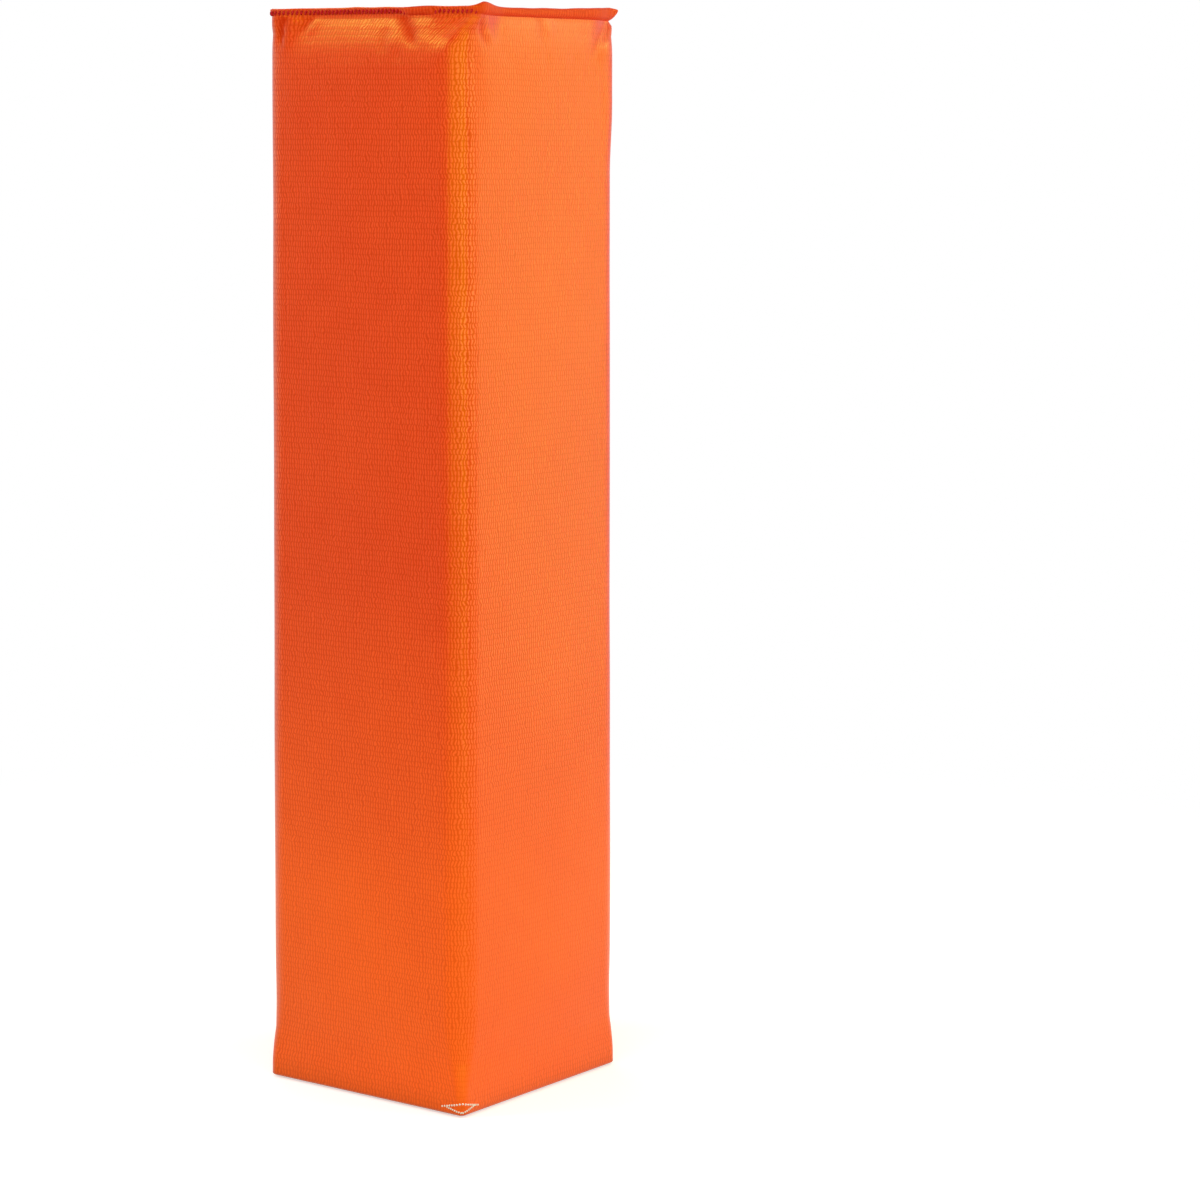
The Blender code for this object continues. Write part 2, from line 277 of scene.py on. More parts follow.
# %% Lamps
LAMPS = {
    # place, width, height, power, colour
    "right lamp": ((0.58, 0.69, 0.50), 0.35, 1.2, 4.1, (1.0, 0.98, 0.36)),
    "high lamp": ((0.58, 0.69, 0.88), 0.35, 0.2, 0.9, (1.0, 1.0, 0.9)),
    "edge lamp": ((1.44, 0.41, 0.45), 0.35, 1.0, 4.3, (1.0, 1.0, 1.0)),
    "side lamp": ((1.76, -0.71, 0.42), 0.6, 1.0, 9.5, (1.0, 1.0, 1.0)),
    "front lamp": ((0.96, -1.81, 0.65), 2.2, 1.1, 18.5, (1.0, 1.0, 1.0)),
    "left lamp": ((-1.50, -1.42, 1.52), 0.7, 0.44, 17.5, (1.0, 0.97, 0.75)),
    "rear lamp": ((-1.60, 1.20, 1.30), 1.2, 1.0, 6.0, (1.0, 1.0, 1.0)),
    "overhead lamp": ((0.0, -0.2, 1.50), 0.8, 0.8, 5.0, (1.0, 1.0, 1.0)),
}


def make_lamp(name, place, width, height, power, colour):
    data = bpy.data.lights.new(name, "AREA")
    data.shape = "RECTANGLE"
    data.size, data.size_y = width, height
    data.energy = power
    data.color = colour
    lamp = bpy.data.objects.new(name, data)
    lamp.visible_camera = False
    lamp.location = place
    aim = Vector((0, 0, cad_high.z / 2)) - lamp.location
    lamp.rotation_euler = aim.to_track_quat("-Z", "Y").to_euler()
    bpy.context.scene.collection.objects.link(lamp)


for name, settings in LAMPS.items():
    make_lamp(name, *settings)
print("lamps:", ", ".join(LAMPS))

# %% [markdown]
# The cover is cut from a mesh of polyester yarns that is coated on both sides with orange vinyl. The yarns
# stand out as small upright bars, in rows. Each cloth here stores where its points lie on the flat cloth,
# in metres, as an attribute called cloth, so that the yarns run round every fold and don't slide when the
# cloth bends. The attribute's third number holds painted light. Above 0 it is a painted highlight round a
# corner, where the yarns show paler, and below 0 it is painted shade in creases, under the rolled welt and on
# the top panel, which makes the cloth darker and duller. The rows wander a little, as woven rows do, and the
# coating is darker between the yarns. The orange is paler towards the base, a painted pool of light from the
# floor, and here and there in slow clouds.

# %% The coated cloth
ROW_PITCH = 0.00222
BAR_PITCH = 0.00140
ROW_WANDER = 0.0016
YARN_JITTER = 0.0026
ROW_SHIFT = 0.0006
YARN_HEIGHT = 0.00005
WANDER_PITCH = 0.030
JITTER_PITCH = 0.0035
GRAIN_PITCH = 0.0008
PATCH_PITCH = 0.012
CLOUD_PITCH = 0.070
BOUNCE_LIGHT_BELOW = (0.06, 0.25)
BOUNCE_LIGHT_SHARE = 0.8
ORANGE = (0.685, 0.034, 0.014, 1)
ORANGE_PALE_AND_LIT = (0.86, 0.088, 0.012, 1)
ORANGE_PAINTED_HIGHLIGHT = (0.80, 0.105, 0.040, 1)
ORANGE_GROOVE_AND_SHADE = (0.51, 0.001, 0.0005, 1)
ORANGE_SHINE = (1.0, 0.83, 0.0, 1)
CLOTH_GLOSS = 0.70
CLOTH_ROUGHNESS = 0.34
YARN_POLISH = 0.06
GRAIN_ROUGHNESS = 0.06
ROLLED_ROUGHNESS = 0.6
ROW_GAP = 0.2
PLAIN_RELIEF = 0.55
PATCH_RELIEF = 0.9
GRAIN_RELIEF = 0.12
LIT_RELIEF = 0.4
GROOVE_REACH = (0.20, 1.1)
GROOVE_DARK = 0.90
GROOVE_LIT = 0.50


def coated_cloth(name):
    finish = Finish(name, roughness=0.35, specular_tint=ORANGE_SHINE, specular_ior_level=CLOTH_GLOSS)
    stored = finish.node("ShaderNodeAttribute", {"attribute_name": "cloth"}, output="Vector")
    parts = {axis: finish.node("ShaderNodeSeparateXYZ", {}, [stored], axis) for axis in "XYZ"}
    place = finish.node("ShaderNodeCombineXYZ", {}, [parts["X"], parts["Y"], 0.0])
    wander = finish.noise(place, WANDER_PITCH) - 0.5
    jitter = finish.noise(place, JITTER_PITCH, 1.0) - 0.5
    along = parts["Y"] + wander * ROW_WANDER + jitter * YARN_JITTER * 0.5
    row = (along / ROW_PITCH).math("ROUND")
    shift = finish.node("ShaderNodeTexWhiteNoise", {"noise_dimensions": "1D"}, {"W": row})
    across = parts["X"] + wander * ROW_WANDER + jitter * YARN_JITTER + shift * ROW_SHIFT
    bars = (across * (2 * math.pi / BAR_PITCH)).math("COSINE") * 0.5 + 0.5
    rows = (along * (2 * math.pi / ROW_PITCH)).math("COSINE") * 0.5 + 0.5
    yarn = bars * rows.math("POWER", ROW_GAP)
    grain = finish.noise(place, GRAIN_PITCH, 3.0)
    patches = finish.noise(place, PATCH_PITCH)
    relief = yarn * (patches * PATCH_RELIEF + PLAIN_RELIEF)

    clouds = finish.noise(place, CLOUD_PITCH, 3.0).between(0.25, 0.75)
    height = finish.node("ShaderNodeSeparateXYZ", {}, [finish.node("ShaderNodeTexCoord", output="Object")], "Z")
    # painted light: the orange is paler towards the base, a painted pool of light from the floor, mixed with
    # slow random clouds of paler tone
    lit_and_clouds = (1 - height.between(*BOUNCE_LIGHT_BELOW)) * BOUNCE_LIGHT_SHARE + clouds * (1 - BOUNCE_LIGHT_SHARE)
    painted_light = parts["Z"].math("MAXIMUM", 0)
    rolled = painted_light - parts["Z"]
    colour = finish.mix(lit_and_clouds, ORANGE, ORANGE_PALE_AND_LIT)
    # painted highlight: paler yarns round the corners of the walls
    colour = finish.mix(painted_light * relief, colour, ORANGE_PAINTED_HIGHLIGHT)
    # painted shade: rolled darkens the colour in creases, under the rolled welt and on the top panel; the rest
    # darkens the coating between the yarns
    groove_and_shade = (1 - relief).between(*GROOVE_REACH) * (GROOVE_DARK - lit_and_clouds * GROOVE_LIT) + rolled
    colour = finish.mix(groove_and_shade, colour, ORANGE_GROOVE_AND_SHADE)
    finish.feed("Base Color", colour)
    finish.feed("Roughness", CLOTH_ROUGHNESS - relief * YARN_POLISH + grain * GRAIN_ROUGHNESS
                + rolled * ROLLED_ROUGHNESS)
    finish.raise_surface((relief + grain * GRAIN_RELIEF) * (1 - lit_and_clouds * LIT_RELIEF), YARN_HEIGHT)
    return finish.material


cover_cloth = coated_cloth("orange coated cloth")
print("yarn pitch:", 1000 * ROW_PITCH, "by", 1000 * BAR_PITCH, "mm")

# %% [markdown]
# The walls are one strip of cloth that goes round the foam and meets itself at the rear corner. Its shape is
# worked out, not drawn: a rounded square at each height, a little wider towards the heavy base. These are
# its sizes. The tip radii are those of the corners where the top seam and the base hold them tight, and the
# crown is how far the foam swells each wall. The top seam is a crease just below the pylon's full height.

# %% Sizes of the cover
HEIGHT = cad_high.z
BASE_SIDE = 0.1080
TOP_SIDE = 0.1046
CLOTH = 0.0005
CORNER_RADIUS = 0.0110
TIP_RADIUS = 0.0070
DIAGONAL_SHARE = 0.29
BASE_TIP_RADIUS = 0.0038
TOP_TIP_RADIUS = 0.0040
FOLD_RADIUS = 0.0035
FOLD_HEIGHT = 0.0017
CROWN = 0.0012
BASE_EASE = 0.0400
WAIST_DEPTH = 0.0002
WAIST_HEIGHT = 0.0330
WAIST_RUN = 0.0130
CREASE_DROP = 0.0036
CREASE_Z = HEIGHT - CREASE_DROP
TIP_RUN = 0.0150
SHOULDER_DRAW = 0.0008
SHOULDER_LEAN = 0.0040
CORNER_DRAW = 0.0004
CORNERS_FROM = 0.62
GATHER_RUN = 0.0180
GATHER_POWER = 2.7
GATHER_EASE = 0.4
TOP_TURN = math.radians(5.3)
print("cover:", 1000 * BASE_SIDE, "mm wide at its base,", 1000 * TOP_SIDE, "mm at its top")

# %% [markdown]
# The mesh of the walls is a grid. Its columns are upright lines, counted round the strip from the seam at the
# rear corner: each has a turn of its wall, a share from -1 to 1 along that wall, and a bend from 0 to 1
# round the corner after it. The walls are named as on a compass seen from above, with +Y as north. In the
# photograph the south wall is the left one, and the east wall the right one.

# %% Columns of the walls
TURNS = {"south": 0.0, "east": math.pi / 2, "north": math.pi, "west": 3 * math.pi / 2}
NAMES = list(TURNS)
FACE_STEPS = 52
CORNER_STEPS = 10


def smooth(share):
    share = np.clip(share, 0, 1)
    return share * share * (3 - 2 * share)


def mix(low, high, share):
    return low + (high - low) * share


def bell(distance, width):
    """1 where the distance is 0, fading to 0 on both sides within about two widths."""
    return np.exp(-((distance / width) ** 2))


def wall_columns():
    """(turn, share along the wall, bend round the corner after it) of each upright line of the walls."""
    columns = []
    flat = [(2 * step / FACE_STEPS - 1, 0.0) for step in range(FACE_STEPS + 1)]
    around = [(1.0, step / CORNER_STEPS) for step in range(1, CORNER_STEPS)]
    half = CORNER_STEPS // 2
    columns += [(TURNS["north"], *pair) for pair in around[half - 1:]]
    for name in ("west", "south", "east"):
        columns += [(TURNS[name], *pair) for pair in flat + around]
    columns += [(TURNS["north"], *pair) for pair in flat + around[:half]]
    return np.array(columns)


COLUMNS = wall_columns()
TURN, SHARE, BEND = COLUMNS.T
SIDE = np.round(TURN / (math.pi / 2)).astype(int)
OUT_ANGLE = TURN - math.pi / 2 + BEND * math.pi / 2
OUT = np.stack([np.cos(OUT_ANGLE), np.sin(OUT_ANGLE)], 1)
CORNERNESS = smooth((np.abs(SHARE) - CORNERS_FROM) / (1 - CORNERS_FROM))


print(len(COLUMNS), "columns")

# %% [markdown]
# Under the top seam one curve gathers the cloth. It turns the strip a little, because the top was sewn on
# askew, draws it in over the foam's edge, and flattens its crown. The draw leans against the turn, so that
# the turn shows at the corners and each wall's middle stays flat.

# %% The walls at each height
def side_values(values):
    """A value for each wall, as one for each column, which changes evenly round the corners."""
    listed = np.array([values[name] for name in NAMES])
    return mix(listed[SIDE], listed[(SIDE + 1) % 4], BEND)


def ring(half, radius, crown=0.0, inset=0.0):
    """The columns' places on a rounded square. Each size may be one number or one for each column."""
    run = half - radius
    along = SHARE * run
    out = np.where(BEND > 0, run, half + crown * (1 - SHARE**2) - inset)
    x = along * np.cos(TURN) + out * np.sin(TURN)
    y = along * np.sin(TURN) - out * np.cos(TURN)
    return np.stack([x, y], 1) + np.where(BEND > 0, radius, 0.0)[:, None] * OUT


def gathered(z):
    """How much the top seam pulls at the cloth at a height: 1 at the seam and 0 on the plain wall."""
    up = np.clip(1 - (CREASE_Z - z) / GATHER_RUN, 0, 1)
    return up**GATHER_POWER * (1 + GATHER_EASE * (1 - up**6))


def turned(points, z):
    """Points turned about the upright axis by what the top seam adds at their height."""
    angle = TOP_TURN * gathered(z)
    sine, cosine = np.sin(angle), np.cos(angle)
    x, y = points[..., 0], points[..., 1]
    return np.stack([x * cosine - y * sine, x * sine + y * cosine], -1)


def at_height(plan, z):
    """The points of a plan at a height, which is one number or one for each point."""
    return np.column_stack([plan, np.broadcast_to(z, len(plan))])


def wall_half(z):
    """Half the walls' width at a height, before the shoulder."""
    return mix(BASE_SIDE, TOP_SIDE, z / HEIGHT) / 2 - WAIST_DEPTH * bell(z - WAIST_HEIGHT, WAIST_RUN)


def wall_ring(z):
    """Places of the columns at a height, with the shoulder, the waist and the crown, before any creases."""
    z = np.broadcast_to(z, TURN.shape)
    base = smooth((z - FOLD_RADIUS) / BASE_EASE)
    top = smooth((CREASE_Z - z) / TIP_RUN)
    draw = mix(SHOULDER_DRAW - SHOULDER_LEAN * SHARE, CORNER_DRAW, CORNERNESS) * gathered(z)
    tip = np.minimum(mix(BASE_TIP_RADIUS, CORNER_RADIUS, base), mix(TOP_TIP_RADIUS, CORNER_RADIUS, top))
    wider = DIAGONAL_SHARE * np.maximum(0, tip - TIP_RADIUS)
    crown = CROWN * np.minimum(base, 1 - gathered(z)) - wider / 2
    return ring(wall_half(z) + wider - draw, tip, crown)


distance = np.linalg.norm(np.diff(wall_ring(HEIGHT / 2), axis=0), axis=1)
AROUND = np.concatenate([[0.0], np.cumsum(distance)])
STRIP = AROUND[-1]
print("the walls' strip is", round(1000 * STRIP, 1), "mm long")

# %% [markdown]
# Cloth shows that it is cloth by its folds. Each fold here is a short line on a wall, given by where it
# starts and ends: how far along the wall, and how far below the top seam. The cloth dips along the line
# and stands up beside it, and where the dip is below 0 it swells instead. The left wall's are where the
# photograph shows them: a slanting crease below the lap of the welt, and puckers near the left corner.
# Besides, shallow waves go all over the walls, and the seam at the rear corner pulls a groove.

# %% Folds in the walls
FOLDS = (
    # wall, start, end, width, dip, rise
    ("south", (0.0140, 0.0005), (0.0320, 0.0140), 0.0015, 0.0007, 0.0),
    ("south", (-0.0398, -0.0005), (-0.0450, 0.0145), 0.0016, 0.0012, 0.0008),
    ("south", (-0.0300, -0.0010), (-0.0330, 0.0080), 0.0018, 0.0005, 0.0004),
    ("south", (0.0100, 0.0060), (0.0150, 0.0170), 0.0024, 0.0002, 0.0001),
    ("east", (-0.0430, 0.0010), (-0.0360, 0.0140), 0.0020, 0.0005, 0.0004),
    ("east", (0.0420, -0.0010), (0.0340, 0.0180), 0.0030, 0.0004, 0.0003),
    ("east", (-0.0040, -0.0010), (0.0010, 0.0120), 0.0026, 0.0002, 0.0003),
    ("east", (0.0505, -0.0030), (0.0505, 0.0650), 0.0085, -0.0012, 0.0),
    ("north", (0.0210, -0.0010), (0.0330, 0.0170), 0.0018, 0.0008, 0.0006),
    ("north", (-0.0400, -0.0010), (-0.0420, 0.0140), 0.0022, 0.0004, 0.0004),
    ("west", (0.0250, -0.0010), (0.0350, 0.0150), 0.0017, 0.0007, 0.0006),
    ("west", (-0.0180, -0.0010), (-0.0150, 0.0110), 0.0024, 0.0003, 0.0003),
)
FOLD_START = 0.6
FOLD_FADE_IN = 0.12
FOLD_FADE_OUT = 0.45
RIDGE_PLACE = 1.7
RIDGE_WIDTH = 1.3
ROLL_SIZE = 0.00022
ROLL_PITCH = 0.055
SEAM_GROOVE = 0.0012
SEAM_GROOVE_WIDTH = 0.0016


def middle_of(name):
    """How far round the strip the middle of a wall is."""
    return AROUND[(SIDE == NAMES.index(name)) & (SHARE == 0)][0]


def corner_after(name):
    """How far round the strip the corner at the end of a wall is."""
    return 0.0 if name == "north" else AROUND[(SIDE == NAMES.index(name)) & (np.isclose(BEND, 0.5))][0]


def away_from(place):
    """How far each column is from a place on the strip, past its two ends too."""
    apart = AROUND - place
    return (apart + STRIP / 2) % STRIP - STRIP / 2


def fold_relief(down):
    """How far the cloth stands out from the plain wall, at each column and at a depth below the top seam."""
    total = np.zeros(len(AROUND))
    for name, start, end, width, dip, rise in FOLDS:
        along = AROUND - middle_of(name)
        line = np.subtract(end, start)
        length = np.hypot(*line)
        across_line = ((along - start[0]) * line[1] - (down - start[1]) * line[0]) / length
        share = ((along - start[0]) * line[0] + (down - start[1]) * line[1]) / length**2
        fade = smooth(share / FOLD_FADE_IN + FOLD_START) * smooth((1 - share) / FOLD_FADE_OUT)
        ridge = bell(across_line - RIDGE_PLACE * width, RIDGE_WIDTH * width)
        total += fade * (rise * ridge - dip * bell(across_line, width))
    return total


def waves(x, y, z):
    """Blender's smooth noise, from -1 to 1, at each of some places."""
    return np.array([noise.noise(Vector(place)) for place in np.column_stack(np.broadcast_arrays(x, y, z))])


def rolling(down):
    """Slow, shallow waves all over the walls."""
    angles = AROUND / STRIP * 2 * math.pi
    reach = STRIP / 2 / math.pi / ROLL_PITCH
    return ROLL_SIZE * waves(np.cos(angles) * reach, np.sin(angles) * reach, down / ROLL_PITCH)


def seam_groove():
    """The rear corner's upright seam, which pulls the cloth in."""
    return -SEAM_GROOVE * bell(away_from(0.0), SEAM_GROOVE_WIDTH)


print(len(FOLDS), "folds")

# %% [markdown]
# At the top seam the walls and the top panel are sewn together face to face, and their edges stand up
# outside as a welt. Two cross-sections describe it, as points out from the seam and up from it: over the
# left wall it stands upright and its lip shades the stitches, and over the right one it is rolled over them.
# Each wall leans to one or the other. Near the front corner the welt laps over on the left wall too. It
# rises to a low peak at the front corner and to a wider one at the right, which ends in a small ear.

# %% The welt
UPRIGHT_WELT = (
    # out, up
    (-0.0006, 0.0015),
    (-0.0007, 0.0024),
    (-0.0004, 0.0032),
    (0.0002, 0.0036),
    (0.0008, 0.0035),
    (0.0010, 0.0031),
    (0.0007, 0.0027),
    (0.0002, 0.0021),
    (0.0000, 0.0012),
    (0.0000, 0.0004),
)
ROLLED_WELT = (
    # out, up
    (-0.0006, 0.0015),
    (-0.0007, 0.0024),
    (-0.0003, 0.0032),
    (0.0003, 0.0036),
    (0.0009, 0.0034),
    (0.0013, 0.0029),
    (0.0014, 0.0021),
    (0.0013, 0.0013),
    (0.0009, 0.0006),
    (0.0004, 0.0002),
)
WELT_ROLLED = {"south": 0.0, "east": 1.0, "north": 0.7, "west": 0.35}
WELT_LAPS = (
    # wall, along it, half its length, how far rolled
    ("south", 0.0222, 0.0072, 1.0),
    ("south", 0.0440, 0.0130, 0.25),
)
EARS = (
    # corner after this wall, shift along the strip, width, out, up
    ("south", 0.0085, 0.0080, 0.0003, 0.0018),
    ("east", 0.0, 0.0026, 0.0030, -0.0004),
    ("east", 0.0, 0.0400, 0.0006, 0.0019),
    ("north", 0.0, 0.0040, 0.0014, 0.0004),
    ("west", 0.0, 0.0028, -0.0014, -0.0024),
)
WELT_RIPPLE = 0.11
WELT_RIPPLE_PITCH = 0.011
WELT_HEIGHT = max(up for out, up in ROLLED_WELT)


def ears():
    """How far out and up the welt's top is pulled at each column."""
    out, up = np.zeros(len(AROUND)), np.zeros(len(AROUND))
    for name, shift, width, reach, rise in EARS:
        near = bell(away_from(corner_after(name) + shift), width)
        out += reach * near
        up += rise * near
    return out, up


def rolled_over():
    """How far the welt is rolled at each column: 0 is upright and 1 is over the stitches."""
    rolled = side_values(WELT_ROLLED)
    for name, along, width, share in WELT_LAPS:
        rolled = np.maximum(rolled, share * np.exp(-((away_from(middle_of(name) + along) / width) ** 4)))
    return rolled


def welt_rows():
    """The welt's points, row by row from its inner end over its top and down to the seam."""
    crease = wall_ring(CREASE_Z)
    rolled = rolled_over()
    ripple = waves(AROUND / WELT_RIPPLE_PITCH, 0, 7)
    ear_out, ear_up = ears()
    rows, along = [], []
    for (out, up), (rolled_out, rolled_up) in zip(UPRIGHT_WELT, ROLLED_WELT):
        share = mix(up, rolled_up, rolled) / WELT_HEIGHT
        reach = mix(out, rolled_out, rolled) + ear_out * share**0.8
        rise = share * (WELT_HEIGHT * (1 + WELT_RIPPLE * ripple) + ear_up)
        plan = crease + OUT * reach[:, None]
        rows.append(at_height(turned(plan, CREASE_Z), CREASE_Z + rise))
        along.append(np.full(len(AROUND), up))
    return rows, along


print("welt", round(1000 * WELT_HEIGHT, 1), "mm high")

# %% [markdown]
# Below, the cloth turns in under the base. The south and north walls end there, in a seam that stands in a
# groove. The west wall runs on as the inner flap, with a softer bend, and steps up to lie over the outer
# flap's lip. The east wall runs on as the outer flap, which is a piece of its own because it moves.
# The rows of points go down each wall, round its bend and, on the west, on under the base.

# %% Rows of the walls
TOP_ROWS, MIDDLE_ROWS, BASE_ROWS, FOLD_ROWS, FLAP_ROWS = 32, 84, 22, 8, 40
TOP_BAND = 0.034
BASE_BAND = 0.030
SOFT_BEND = {"south": 0.0, "east": 0.0, "north": 0.0, "west": 0.0045}
SEWN = {"south": 1.0, "east": 0.0, "north": 1.0, "west": 0.0}
SEAM_RISE = 0.0011
FOLD_TIP_RADIUS = 0.0006
SLIT_SLANT = 0.0031
STEP_RISE = 0.0024
STEP_RUN = 0.0018
INNER_FLAP_END = 0.0240
FLAP_SIDE = 0.0499
SIDE_LIFT = 0.0013
SIDE_LIFT_RUN = 0.0075
LIFT_SHARE = 0.2
LIP_GAP = 0.0003
ROLL_FADE = 0.01
SOFT_ENDS = 0.35
SEWN_ENDS = 0.08
RISE_FROM = 0.7


def side_lift(y):
    """How far the flaps rise towards their side seams."""
    return SIDE_LIFT * smooth((np.abs(y) - (FLAP_SIDE - SIDE_LIFT_RUN)) / SIDE_LIFT_RUN) ** 1.5


def slit(y):
    """Where the pocket's slit crosses the base."""
    return -SLIT_SLANT * y / FLAP_SIDE


def bend_height():
    """How high the bend in under the base begins, at each column."""
    return FOLD_HEIGHT + side_values(SOFT_BEND) * smooth((1 - np.abs(SHARE)) / SOFT_ENDS)


def wall_rows():
    """The walls' points from the seam down to the bend."""
    rows, along = [], []
    radius = bend_height()
    top = np.linspace(CREASE_Z, CREASE_Z - TOP_BAND, TOP_ROWS)
    middle = np.linspace(CREASE_Z - TOP_BAND, BASE_BAND, MIDDLE_ROWS)
    base = [mix(BASE_BAND, radius, step / BASE_ROWS) for step in range(BASE_ROWS + 1)]
    for z in [*top, *middle[1:-1], *base]:
        z = np.broadcast_to(z, len(AROUND))
        down = CREASE_Z - z
        relief = rolling(down) * smooth(down / ROLL_FADE) * smooth((z - radius) / ROLL_FADE) + seam_groove()
        plan = wall_ring(z) + OUT * relief[:, None]
        rows.append(at_height(turned(plan, z), z))
        along.append(-down)
    return rows, along


def bend_rows():
    """The points of the bend in under the base."""
    rows, along = [], []
    radius = bend_height()
    soft = radius - FOLD_HEIGHT
    sewn = side_values(SEWN) * smooth((1 - np.abs(SHARE)) / SEWN_ENDS)
    half = wall_half(FOLD_RADIUS)
    for step in range(1, FOLD_ROWS + 1):
        share = step / FOLD_ROWS
        angle = math.pi / 2 * share
        turned_in = 1 - math.cos(angle)
        tip = mix(BASE_TIP_RADIUS, FOLD_TIP_RADIUS, share)
        plan = ring(half - FOLD_RADIUS * turned_in, tip, inset=soft * turned_in)
        plan += OUT * (seam_groove() * (1 - share))[:, None]
        z = radius * (1 - math.sin(angle)) + SEAM_RISE * sewn * smooth((share - RISE_FROM) / (1 - RISE_FROM))
        rows.append(at_height(plan, z))
        along.append(-(CREASE_Z - radius) - radius * angle)
    return rows, along


def flap_rows(start, goal):
    """Points under the base, from a row of points to the place along X that goal gives for each Y."""
    rows, along = [], []
    y = start[:, 1]
    for step in range(1, FLAP_ROWS + 1):
        share = step / FLAP_ROWS
        x = mix(start[:, 0], goal(y), share)
        rows.append(np.column_stack([x, y, side_lift(y) * smooth(share / LIFT_SHARE)]))
        along.append(-np.abs(x - start[:, 0]))
    return rows, along


def inner_flap_rows(start):
    """The inner flap: flat up to the slit, then a step up and on to its hidden end."""
    rows, along = flap_rows(start, lambda y: np.full(len(y), INNER_FLAP_END))
    for row in rows:
        row[:, 2] += STEP_RISE * smooth((row[:, 0] - slit(row[:, 1])) / STEP_RUN)
    return rows, along


def all_rows():
    """The rows of the whole strip, from the welt to the inner flap, and how far along the cloth each is."""
    welt, welt_along = welt_rows()
    wall, wall_along = wall_rows()
    bend, bend_along = bend_rows()
    flap, flap_along = inner_flap_rows(bend[-1])
    flap_along = [bend_along[-1] + extra for extra in flap_along]
    return np.array(welt + wall + bend + flap), np.array(welt_along + wall_along + bend_along + flap_along)


POINTS, ALONG = all_rows()
SEAM_ROW = len(UPRIGHT_WELT)
LAST_WALL_ROW = len(POINTS) - FLAP_ROWS - FOLD_ROWS - 1
LAST_BEND_ROW = len(POINTS) - FLAP_ROWS - 1
print(POINTS.shape[0], "rows of", POINTS.shape[1], "points")

# %% [markdown]
# The real walls were cut wider than the top seam that gathers them, and the foam presses them out. A short
# cloth simulation finds how they settle: a coarse copy of the walls is pinned at its seams and corners, its
# rest shape is the cloth as it was cut, and a little pressure stands for the foam.

# %% Simulating a coarse copy
SETTLE_FRAMES = 20
CLOTH_SETTINGS = {
    "quality": 8,
    "mass": 0.2,
    "tension_stiffness": 25,
    "compression_stiffness": 25,
    "shear_stiffness": 8,
    "bending_stiffness": 0.6,
    "tension_damping": 10,
    "compression_damping": 10,
    "shear_damping": 10,
    "air_damping": 4,
    "vertex_group_mass": "pins",
    "use_pressure": True,
    "uniform_pressure_force": 2.0,
}


def grid(rows, columns, closed=False):
    """The row, the column and the four points of each quad in a grid of points."""
    for row in range(rows - 1):
        for column in range(columns if closed else columns - 1):
            here, below, after = row * columns, (row + 1) * columns, (column + 1) % columns
            yield row, column, (here + column, below + column, below + after, here + after)


def new_mesh(name, points, faces):
    data = bpy.data.meshes.new(name)
    data.from_pydata(np.reshape(points, (-1, 3)).tolist(), [], faces)
    return data


def simulated(start, cut, corners):
    """Where the cloth simulation moves the points of a coarse copy of the walls, which was cut otherwise."""
    shape = start.shape[:2]
    data = new_mesh("settling", start, [quad for _, _, quad in grid(*shape, closed=True)])
    piece = bpy.data.objects.new("settling", data)
    bpy.context.scene.collection.objects.link(piece)
    piece.shape_key_add(name="now")
    key = piece.shape_key_add(name="cut")
    key.data.foreach_set("co", cut.ravel())
    numbers = np.arange(shape[0] * shape[1]).reshape(shape)
    held = np.concatenate([numbers[0], numbers[-1], numbers[:, corners].ravel()])
    piece.vertex_groups.new(name="pins").add(held.tolist(), 1.0, "REPLACE")
    cloth = piece.modifiers.new("cloth", "CLOTH")
    for name, value in CLOTH_SETTINGS.items():
        setattr(cloth.settings, name, value)
    cloth.settings.rest_shape_key = key
    cloth.settings.effector_weights.gravity = 0
    cloth.point_cache.frame_start, cloth.point_cache.frame_end = 1, SETTLE_FRAMES
    scene = bpy.context.scene
    for number in range(1, SETTLE_FRAMES + 1):
        scene.frame_set(number)
    made = piece.evaluated_get(bpy.context.evaluated_depsgraph_get()).to_mesh()
    moved = np.empty(len(made.vertices) * 3, dtype=np.float32)
    made.vertices.foreach_get("co", moved)
    scene.frame_set(1)
    bpy.data.objects.remove(piece)
    return moved.reshape(start.shape)


print("simulation of", SETTLE_FRAMES, "frames ready")

# %% [markdown]
# The walls lie tight on the foam, so how far each coarse point moved is limited to a quarter of a millimetre.
# It fades out down the wall, and is spread over the fine points between.

# %% Letting the walls settle
SETTLE_CAP = 0.00025
SETTLE_REACH = 0.070
SETTLE_SLOPE = 1.4
COARSE_COLUMNS = 2
CORNER_HOLD = 0.25


def coarse_rows():
    """The rows of the walls that the coarse copy keeps."""
    wall = LAST_WALL_ROW - SEAM_ROW
    steps = [*range(0, TOP_ROWS, 3), *range(TOP_ROWS, TOP_ROWS + MIDDLE_ROWS - 2, 2),
             *range(TOP_ROWS + MIDDLE_ROWS, wall, 5), wall]
    return SEAM_ROW + np.array(steps)


